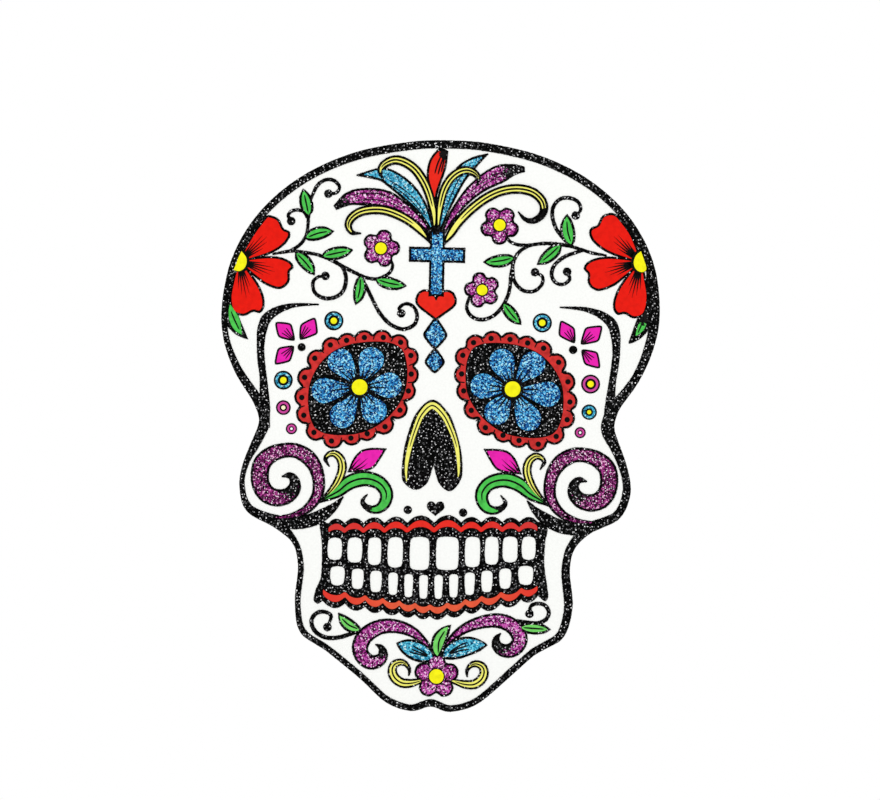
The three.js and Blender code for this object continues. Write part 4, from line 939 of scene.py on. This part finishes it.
curls = [SPRIG, mirrored(SPRIG, shift=CHEEK_SHIFT), HOOK, mirrored(HOOK, HOOK_LINE)]
yellow_routes = PLUMES[:-1] + [PLUMES[-1][:BLACK_FROM]]
bands = plates([stroke_loop(route, PLUME_LINE) for route in yellow_routes], GROUND, PLUME_BAND)
bands += plates([stroke_loop(route, KEYLINE) for route in curls], GROUND, INK)
lines = plates([stroke_loop(route) for route in PLUMES], GROUND, PLUME_BASE)
lines += plates([stroke_loop(route) for route in SEAMS], FACE, SEAM_TOP)
tails = plates([stroke_loop(route) for route in (TAIL, mirrored(TAIL, shift=CHEEK_SHIFT))],
               FACE, INK)
add_hairs(PLUMES, *PLUME_HAIR, level=PLUME_BAND)
add_hairs(curls, *CURL_HAIR)
make_piece("plume_lines", lines, "black_glitter")
make_piece("spiral_tails", tails, "plum_glitter")
make_piece("yellow_bands", bands, "pale_yellow_ink")
print("yellow strokes:", len(bands))

# %% [markdown]
# ## Leaves and buds
# Every leaf is a lens of ink inside its black ground, with a black midrib from its base to near its
# tip. The leaf under each temple flower is half hidden, so its visible part is drawn as an outline
# of its own. The green leaves of the chin are lighter than the rest, and its two blue ones are
# glitter. The pink buds of the cheeks have three hairs instead of a midrib.

# %% Leaves
LEAF_BEAD = 0.12
# Base and tip of each leaf, width and bow
GREEN_LEAVES = [
    ((-82, 128), (-86, 145), 8.2, 0), ((-84, 114), (-66.3, 119), 8.2, 1.2),
    ((-90, 105.4), (-77.6, 91.5), 8, 0.7), ((-73.5, 103.3), (-54, 107.8), 8, 0),
    ((-49.5, 92), (-52, 73.5), 7.8, 1.2), ((-40, 90), (-20.5, 86), 7.8, -0.7),
    ((81.5, 113.5), (78, 132.7), 9, 1.4), ((74.5, 114), (60, 101), 8, 0.6),
    ((46, 105.3), (26.5, 101.8), 8, 0.9), ((39.5, 77), (51, 63.5), 7.6, -0.6),
]
CHIN_LEAVES = [((4.5, -144), (11.5, -123.4), 9, 3.5), ((-44, -127.5), (-58.5, -117.5), 7.6, 2.2),
               ((54, -124), (73.5, -125), 7.4, 0)]
BLUE_LEAVES = [((1, -144.5), (-22, -135.5), 12.5, -0.5), ((7, -144), (34.5, -135.5), 12.5, 3)]
TEMPLE_LEAVES = [
    [(-122, 53.6), (-122.7, 59.4), (-123.9, 63.9), (-126, 67.2), (-127.8, 69.9), (-129.8, 72.6),
     (-130.5, 67.8), (-130, 63), (-128.4, 59.1), (-125.8, 55.8)],
    [(121.9, 57.9), (125.6, 60.6), (127.8, 63.6), (128.7, 67.8), (128.9, 71.4), (128, 74.4),
     (125.6, 70.2), (124.1, 66.6), (122.7, 62.4)],
]
TEMPLE_RIBS = [[(-129, 68), (-126.6, 62.5), (-123.6, 56.6)], [(127, 70), (125.4, 65), (123.4, 60)]]
BUD = [(-54.6, -30.2), (-45, -29.4), (-38.8, -27.2), (-34.6, -21.5), (-30.8, -15), (-39.5, -14.9),
       (-46.5, -16.6), (-51.5, -22.5)]
BUD_HAIRS = [[(-52.4, -28.2), (-49.8, -24.4), (-46.8, -21.4)],
             [(-51.4, -28.7), (-46.5, -25), (-42, -20.8)],
             [(-49.4, -28.7), (-45.5, -26.8), (-42.3, -24.2)]]
BLUE_FAN = (-3.5, 0.5, 4)  # how far the ribs of a blue leaf spread
RIB_SPAN, BLUE_SPAN = (0.12, 0.78), (0.15, 0.6)  # shares of a leaf where its ribs start and stop
RIB_WIDTH, BUD_HAIR_WIDTH, TEMPLE_RIB_WIDTH = 0.9, 1.2, 0.8


def ink_shapes(loops):
    """Plates of ink on the black ground."""
    return plates(loops, GROUND, INK, LEAF_BEAD)


leaves = ink_shapes([leaf_loop(*leaf) for leaf in GREEN_LEAVES])
leaves += ink_shapes([smooth_loop(loop) for loop in TEMPLE_LEAVES])
chin_leaves = ink_shapes([leaf_loop(*leaf) for leaf in CHIN_LEAVES])
blue_leaves = ink_shapes([leaf_loop(*leaf) for leaf in BLUE_LEAVES])
bud_lines = [smooth_loop(loop) for loop in (BUD, mirrored(BUD, shift=CHEEK_SHIFT)[::-1])]
buds = ink_shapes([shifted(loop, -KEYLINE) for loop in bud_lines])
ribs = [rib(base, tip, bend, *RIB_SPAN) for base, tip, _, bend in GREEN_LEAVES + CHIN_LEAVES]
ribs += [rib(base, tip, bend, *BLUE_SPAN, aside)
         for base, tip, _, bend in BLUE_LEAVES for aside in BLUE_FAN]
add_hairs(ribs, RIB_WIDTH)
bud_hairs = BUD_HAIRS + [mirrored(line, shift=CHEEK_SHIFT) for line in BUD_HAIRS]
add_hairs(bud_hairs, BUD_HAIR_WIDTH, make=spike_loop)
add_hairs(TEMPLE_RIBS, TEMPLE_RIB_WIDTH)
make_piece("green_leaves", leaves, "green_ink")
make_piece("chin_leaves", chin_leaves, "lime_ink")
make_piece("blue_leaves", blue_leaves, "sky_glitter")
make_piece("cheek_buds", buds, "pink_ink")
print("leaves:", len(leaves) + len(chin_leaves), "blue:", len(blue_leaves), "buds:", len(buds))

# %% [markdown]
# ## Eyes, flowers and rings
# Yellow discs with a thin black ring mark the middle of each flower, and the temple flowers have
# half of one at the border. The scalloped rim of each eye has a black dot in every scallop. The
# rings beside the eyes are bull's-eyes: black, a ring of colour, black, and a small centre.

# %% Discs and rings
EYE_SCALLOPS = [(-16.5, 31.5), (-17, 43), (-23.5, 51), (-34.3, 53.8), (-46, 53.5), (-57, 51.5),
                (-67, 48.5), (-76.5, 40), (-82.5, 28), (-84, 15.5), (-82.5, 4.5), (-76, -6),
                (-65, -11), (-53, -9), (-43, -6), (-32, -1.5), (-23, 9), (-18, 21)]
EYE_SHIFT = (-1.8, 0.8)  # from the mirror image of the left eye to the right one
RIM_DOT = 1.7
DOT_TOP, DOT_BEAD = INK + 0.1, 0.05
CENTRE_TOP = 3.95
CENTRE_RING, HALF_RING = 0.8, 1.7  # width of the black round a whole centre and round half of one
# Middle and radius of each yellow centre and of each loose dot
FLOWERS = [(-37, 109, 3.6), (36.3, 125, 3.6), (26.3, 84.5, 3.3), (3.2, -155.5, 4.5)]
LOOSE_DOTS = [(-16.8, -52.7, 2.6), (17.5, -53.7, 2.6), (-84.8, 46.7, 2.5), (83.5, 48.7, 2.6)]
TEMPLE_CENTRES = [
    [(-128, 93.6), (-125, 92.9), (-122.3, 93.9), (-120.5, 96.2), (-119.9, 99.5), (-120.6, 102),
     (-123.3, 105.4), (-125.3, 101), (-126.4, 97.6)],
    [(124.2, 110.7), (121.5, 108.5), (120.1, 105.5), (119.9, 102.5), (121.3, 99.5), (123.8, 97.9),
     (126.4, 98), (127.8, 100), (126.2, 105.3)],
]


def shaded(loop, side):
    """A loop grown on the side that looks away from the border, and less and less towards it."""
    out = outward(loop)
    return loop + out * (HALF_RING * np.clip(0.35 + side * out[:, :1], 0, 1))


right_scallops = mirrored(EYE_SCALLOPS, shift=EYE_SHIFT)
halves = [smooth_loop(loop) for loop in TEMPLE_CENTRES]
dot_loops = [disc_loop(*dot) for dot in LOOSE_DOTS]
centres = plates([disc_loop(*flower) for flower in FLOWERS], INK, CENTRE_TOP, BEAD)
centres += plates(halves, FACE, CENTRE_TOP, BEAD)
marks = [disc_loop(x, z, RIM_DOT, 18) for x, z in [*EYE_SCALLOPS, *right_scallops]]
marks += [disc_loop(x, z, radius + CENTRE_RING) for x, z, radius in FLOWERS]
rim_dots = plates(marks, INK, DOT_TOP, DOT_BEAD)
rings = [shaded(loop, side) for loop, side in zip(halves, (1, -1))]
rim_dots += plates(rings, FACE, DOT_TOP, DOT_BEAD)
make_piece("flower_centres", centres, "yellow_ink")
make_piece("rim_dots", rim_dots, "black_ink")
make_piece("loose_dots", plates(dot_loops, FACE, GROUND, BEAD), "black_glitter")
print("dots and rings:", len(rim_dots) + len(dot_loops), "centres:", len(centres))

# %% [markdown]
# ## Lines in the eyes
# Black streaks burst from the middle of each eye flower over the feet of its petals. Their outline
# is one wavy circle: the radius jumps up wherever the cosine of many times the angle is near one.
# Short lines part the scallops of the red rim.

# %% Eye lines
EYE_MIDDLE = (-48.3, 22.7)
STREAKS = 23
HUB, STREAK_REACH, STREAK_BEAD = 6.9, 10.5, 0.04
PARTING = np.array([-1.4, 0.4, 2.2])  # points of a parting line, measured from the rim's middle
PARTING_WIDTH = 0.7


def burst_loop(x, z):
    """A circle round the hub with spikes: their reach times the cosine of the angle times STREAKS,
    raised to a high power and made uneven from spike to spike by a slower wave."""
    points = 40 * STREAKS
    angle = np.linspace(0, 2 * np.pi, points, endpoint=False)
    spike = np.abs(np.cos(STREAKS * angle / 2)) ** 6
    uneven = 0.72 + 0.28 * np.sin(5 * angle + 1) * np.cos(3 * angle)
    return disc_loop(x, z, HUB + STREAK_REACH * spike * uneven, points)


def parting_lines(middles, eye):
    """For each two neighbouring scallops, a line across the rim through the point half way between
    them."""
    half_way = (np.array(middles) + np.roll(middles, -1, 0)) / 2
    return half_way[:, None] + PARTING[None, :, None] * unit(half_way - np.array(eye))[:, None]


right_eye = mirrored([EYE_MIDDLE], shift=EYE_SHIFT)[0]
bursts = plates([burst_loop(*EYE_MIDDLE), burst_loop(*right_eye)], INK, DOT_TOP, STREAK_BEAD)
partings = [*parting_lines(EYE_SCALLOPS, EYE_MIDDLE), *parting_lines(right_scallops, right_eye)]
add_hairs(partings, PARTING_WIDTH)
make_piece("eye_bursts", bursts, "black_ink")
print("eye lines:", len(partings), "bursts:", len(bursts))

# %% Bull's-eyes
RINGS = {  # x, z, then the radii of the centre, the black round it, the colour and the whole
    "left_ring_top": (-65.2, 63.5, 2, 3.4, 4.9, 6),
    "left_ring_upper": (-95.7, 26, 2, 3.4, 4.8, 5.9),
    "left_ring_middle": (-95.3, 9, 1.3, 2.3, 3.6, 4.6),
    "left_ring_lower": (-90, -4, 0.8, 1.5, 2.6, 3.5),
    "right_ring_top": (64, 65, 2, 3.4, 4.9, 6),
    "right_ring_upper": (94.8, 27.7, 2, 3.4, 4.8, 5.9),
    "right_ring_middle": (94.3, 10.3, 1.3, 2.4, 3.8, 4.8),
    "right_ring_lower": (89, -2.5, 0.8, 1.5, 2.6, 3.5),
}
BLUE_RINGS = ["left_ring_top", "left_ring_upper", "right_ring_top", "right_ring_middle"]
PINK_RINGS = [node for node in RINGS if node not in BLUE_RINGS]
CENTRES = {"cream_ink": ["left_ring_middle"], "white_sheet": sides("ring_lower"),
           "yellow_ink": ["left_ring_top", "left_ring_upper", "right_ring_top", "right_ring_upper",
                          "right_ring_middle"]}
RING_GROUND, RING_BEAD = 3.22, 0.08


def colour_ring(node):
    """A ring of colour: a circle and, run the other way, a smaller one as its hole."""
    x, z, _, inner, outer, _ = RINGS[node]
    return plate([disc_loop(x, z, outer), disc_loop(x, z, inner)[::-1]], FACE, GROUND, RING_BEAD)


discs = [disc_loop(x, z, whole) for x, z, *_, whole in RINGS.values()]
make_piece("ring_grounds", plates(discs, FACE, RING_GROUND), "black_ink")
blue_set = [colour_ring(node) for node in BLUE_RINGS]
pink_set = [colour_ring(node) for node in PINK_RINGS]
make_piece("blue_rings", blue_set, "sky_glitter", BLUE_RINGS)
make_piece("pink_rings", pink_set, "soft_pink_ink", PINK_RINGS)
for finish, nodes in CENTRES.items():
    pupils = plates([disc_loop(*RINGS[node][:3]) for node in nodes], FACE, GROUND, RING_BEAD)
    make_piece(f"ring_centres_{finish}", pupils, finish)
print("rings:", len(RINGS))

# %% [markdown]
# ## Brow petals
# Three pink petals stand over the outer corner of each eye. Each is a pink lozenge inside a black
# outline, with fine black hairs that fan from its tip. The black plate stands for the keyline, and
# the pink one lies inset on it.

# %% Brow petals
BROWS = [f"{side}_brow_petal_{part}" for side in ("left", "right")
         for part in ("inner", "outer", "lower")]
# The tip of each petal and the corner across from it
BROW_TIPS = [((-86.5, 50.5), (-76.5, 66)), ((-88.5, 50), (-102, 62.3)), ((-88.8, 48), (-101.8, 35)),
             ((85, 52), (75, 67.5)), ((87.5, 51.5), (101.8, 64.5)), ((88, 49.5), (101, 37))]
BROW_GROUND = 3.25
BROW_FAN, BROW_SPAN, BROW_HAIR_WIDTH = (-3.6, 0, 3.6), (0.12, 0.56), 0.6

outlines = [smooth_loop(front_loops(node)[0]) for node in BROWS]
make_piece("brow_lines", plates(outlines, FACE, BROW_GROUND), "black_ink")
pads = plates([shifted(loop, -KEYLINE) for loop in outlines], FACE, GROUND)
make_piece("brow_pads", pads, "pink_ink", nodes=BROWS)
fan = [rib(tip, far, 0, *BROW_SPAN, aside) for tip, far in BROW_TIPS for aside in BROW_FAN]
add_hairs(fan, BROW_HAIR_WIDTH, level=GROUND)
print("brow petals:", len(pads))

# %% [markdown]
# ## Nose
# A pale yellow arch runs inside the edge of the black nose, thick at the top and thin at both ends,
# with a black hair along its upper part.

# %% Nose arch
ARCH = [(-17.9, -35, 0.5), (-18.4, -29, 1.4), (-17.9, -21.5, 2.2), (-16.1, -12.5, 2.7),
        (-13, -2, 3.1), (-9.3, 6.8, 3.6), (-3, 12.3, 4.1), (3.9, 6.8, 3.6), (8.7, -2, 3.1),
        (12.1, -11, 2.6), (13.7, -20, 2), (14.2, -28, 1.3), (14, -31.5, 0.5)]
ARCH_HAIR = (0.75, 0.24, 0.78)  # width, start and stop

make_piece("nose_arch", ink_shapes([stroke_loop(ARCH)]), "pale_yellow_ink")
add_hairs([ARCH], *ARCH_HAIR)
print("nose arch:", len(midline(ARCH)), "steps")

# %% [markdown]
# ## Hairlines
# Fine black lines are drawn last, on top of the colours: veins in the big red petals, short ones
# that part the petals of the round flowers, lines along the feathers and the green scrolls. Petals
# radiate from a middle, so their veins are lines at a few angles between two radii.

# %% Hairlines
# Middle of each temple flower, angles of its petals, side it faces, width of its veins
TEMPLES = [((-124.5, 99), (43, -15.3, -78), 1, 1.15), ((124, 104), (42.6, -17.8, -78), -1, 1.5)]
PETALS = 5  # of a round flower
VEIN_START, VEIN_FAN, VEIN_ENDS = 5.6, (-13, -6.5, 0, 6.5, 13), (17, 21, 23, 21.5, 16.5)
# Middle of each round flower, the angle of one notch between its petals, radius of the notches
NOTCHES = [((-37, 109), 39, 8.6), ((36.3, 125), 18, 8.8), ((26.3, 84.5), 69, 8.1),
           ((3.2, -155.5), 54, 10.1)]
SWOOSH = [(-72, -49), (-66, -45.5), (-60, -42), (-54, -37), (-47, -34.2), (-40, -34.3), (-34, -37),
          (-30.5, -42), (-30.5, -47)]
FEATHER_LINES = [
    [(-9, 129), (-15.5, 138.5), (-24, 146), (-34, 152)],
    [(-10.5, 130), (-18, 138), (-27, 145.5), (-38, 151)],
    [(2, 131), (5.5, 142), (9.5, 151), (14, 157.5)],
    [(-22, 133), (-34, 138), (-46, 139), (-57, 137.5)],
    [(-26, 137.5), (-36, 142), (-46, 143), (-57, 141.5)],
    [(15, 142), (23, 150), (31, 155.5), (42, 159.5)],
    [(18, 142), (27, 150), (35, 154.5), (45, 158)],
]
RED_LINES = [[(-4.6, 156), (-3, 162), (-0.6, 168)], [(-2.6, 155.5), (-1.2, 161), (0.6, 166.5)],
             [(-0.6, 157), (0.4, 162), (1.4, 167)]]
CREASE_WIDTH, FEATHER_WIDTH, RED_WIDTH, SWOOSH_WIDTH = 1.5, 0.6, 0.9, 1.1


def spokes(middle, angles, fan, near, ends, flip=1):
    """Lines at each angle and some degrees to either side of it, from one radius to an end of their
    own."""
    turn = np.radians(np.add.outer(angles, fan))[..., None]
    reach = near + (np.array(ends)[:, None] - near) * np.linspace(0, 1, 3)
    x, z = middle[0] + flip * reach * np.cos(turn), middle[1] + reach * np.sin(turn)
    return np.stack([x, z], -1).reshape(-1, 3, 2)


for middle, angles, side, width in TEMPLES:
    veins = spokes(middle, angles, VEIN_FAN, VEIN_START, VEIN_ENDS, side)
    add_hairs(veins, width, make=spike_loop)
for middle, angle, far in NOTCHES:
    notches = angle + 360 / PETALS * np.arange(PETALS)
    creases = spokes(middle, notches, (0,), far, (far / 2,))
    add_hairs(creases, CREASE_WIDTH, make=spike_loop)
add_hairs(FEATHER_LINES, FEATHER_WIDTH)
add_hairs(RED_LINES, RED_WIDTH)
add_hairs([SWOOSH, mirrored(SWOOSH, shift=CHEEK_SHIFT)], SWOOSH_WIDTH)
make_piece("hairlines", hairs, "black_ink")
print("hairlines:", len(hairs))

# %% [markdown]
# ## Loose flakes
# The coarsest flakes stand out of the coat as small hexagons, each leaning its own way. They are
# strewn over an even grid and then shaken. Thin lines have no room for them, so they keep a little
# off every edge, and none lies under a colour. Where purple runs out into black, every other flake
# turns silver. Each flake holds one random tone, which is partly painted light: the brightest are
# painted glints and the darkest painted shade. A map with a square of its own for every flake
# keeps the tones apart when a picture is made of them.

# %% Flakes
# Tones of the loose flakes: the light ones are painted glints, the dark ones painted shade
SILVER_TONES = tones((0, 80, 80, 82), (0.25, 130, 130, 132), (0.5, 184, 184, 186),
                     (0.75, 228, 228, 228), (0.9, 252, 252, 252))
ICE_TONES = tones((0, 4, 36, 76), (0.3, 90, 176, 222), (0.6, 146, 216, 244),
                  (0.88, 196, 238, 252))
ROSE_TONES = tones((0, 36, 0, 28), (0.28, 186, 74, 160), (0.52, 234, 166, 216),
                   (0.73, 255, 236, 250))
# Coat the flakes lie on, their tones, how many on a square millimetre, distance to an edge, level
# of the coat, smallest radius
STREWN = {"rose_flakes": ("purple_glitter", ROSE_TONES, 0.6, 0.25, INK, 0.26),
          "ice_flakes": ("blue_glitter", ICE_TONES, 0.55, 0.3, INK, 0.25),
          "silver_flakes": ("black_glitter", SILVER_TONES, 0.26, 0.6, GROUND, 0.28)}
LARGEST = 1.7  # times the smallest radius
FILM = 0.3  # roughness and shine of a flake
SHAKE = 0.7  # share of the grid's step
RISE, ROOT = 0.05, 0.2  # how far a flake stands out of its coat and reaches into it
SLOPE, STEEPEST = 0.16, 0.3
TOP_SHARE, FOOT_SHARE = 0.25, 0.42  # radius of a flake's top and foot in its square of the map
COLOURED = [loops for node, loops in edges.items() if node not in BLACK]


def flake_finish(name, palette):
    """A bright film whose tone is the flake's own number."""
    material, tree, shader, _ = new_finish(name, FILM, FILM)
    # Each flake's random tone picks a painted glint or painted shade from the palette
    own = add_node(tree, "Attribute", attribute_name="tone").outputs["Fac"]
    tree.links.new(ramp(tree, own, palette), shader.inputs["Base Color"])
    return material


def strew(loops, density, edge):
    """Places on a square grid, each shaken by a share of its spacing, that lie inside the loops, an
    edge off."""
    step = 1 / math.sqrt(density)
    outline = np.concatenate(loops)
    across, up = (np.arange(outline[:, k].min(), outline[:, k].max(), step) for k in (0, 1))
    spots = np.stack(np.meshgrid(across, up), -1).reshape(-1, 2)
    spots = spots + chance.uniform(-SHAKE, SHAKE, spots.shape) * step
    return spots[inside(spots, [loop - edge * outward(loop) for loop in loops])]


def flake_mesh(name, spots, level, least):
    """Hexagonal plugs: a flat foot in the coat at a level and a top that leans by a random slope
    either way."""
    count = len(spots)
    angle = chance.uniform(0, np.pi / 3, (count, 1)) + np.arange(6) * np.pi / 3
    ring = np.stack([np.cos(angle), np.sin(angle)], -1)
    corners = spots[:, None] + ring * chance.uniform(least, LARGEST * least, (count, 1, 1))
    lean = chance.normal(0, SLOPE, (count, 1, 2)).clip(-STEEPEST, STEEPEST)
    rise = RISE + np.sum(lean * (corners - spots[:, None]), -1)
    level = level[:, None]
    high = np.stack([corners[..., 0], -level - rise, corners[..., 1]], -1)
    low = np.stack([corners[..., 0], ROOT - level + 0 * rise, corners[..., 1]], -1)
    points = np.concatenate([high, low], 1).reshape(-1, 3) * MM
    side = np.arange(6)
    after = (side + 1) % 6
    start = 12 * np.arange(count)
    tops = start[:, None] + side
    feet = start[:, None] + 6 + side[::-1]
    walls = start[:, None, None] + np.stack([6 + side, 6 + after, after, side], -1)
    faces = tops.tolist() + feet.tolist() + walls.reshape(-1, 4).tolist()
    mesh = bpy.data.meshes.new(name)
    mesh.from_pydata(points.tolist(), [], faces)
    tone = mesh.attributes.new("tone", "FLOAT", "POINT")
    tone.data.foreach_set("value", np.repeat(chance.random(count), 12).astype(np.float32))
    across = math.ceil(math.sqrt(count))
    number = np.arange(count)
    cell = (np.stack([number % across, number // across], -1) + 0.5) / across
    spread = np.concatenate([TOP_SHARE * ring, FOOT_SHARE * ring], 1) / across
    mapped = (cell[:, None] + spread).reshape(-1, 2).astype(np.float32)
    used = np.empty(len(mesh.loops), np.int32)
    mesh.loops.foreach_get("vertex_index", used)
    mesh.uv_layers.new(name="OFBake").uv.foreach_set("vector", mapped[used].reshape(-1))
    return mesh


for name, (coat, palette, density, edge, level, least) in STREWN.items():
    finishes[name] = flake_finish(name, palette)
    fields = [edges[node] for node in COATS[coat]]
    if coat == "black_glitter":
        fields += [[loop] for loop in dot_loops]
    spots = np.concatenate([strew(loops, density, edge) for loops in fields])
    heights = np.full(len(spots), level)
    if coat == "purple_glitter":
        x, z, inner, outer = np.array(PURPLE_FADES).T
        away = np.hypot(spots[:, :1] - x, spots[:, 1:] - z)
        faded = (away < (inner + outer) / 2).any(1)
        tips, tip_heights = spots[faded][::2], heights[faded][::2]
        spots, heights = spots[~faded], heights[~faded]
    if coat == "black_glitter":
        wide = [[loop + edge * outward(loop) for loop in loops] for loops in COLOURED]
        shown = ~np.any([inside(spots, loops) for loops in wide], axis=0)
        spots = np.concatenate([spots[shown], tips])
        heights = np.concatenate([heights[shown], tip_heights])
    mesh = flake_mesh(name, spots, heights, least)
    mesh.materials.append(finishes[name])
    flakes = add_object(name, mesh)
    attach(flakes, "root")
    print(name, len(spots), "flakes,", len(mesh.polygons), "faces")
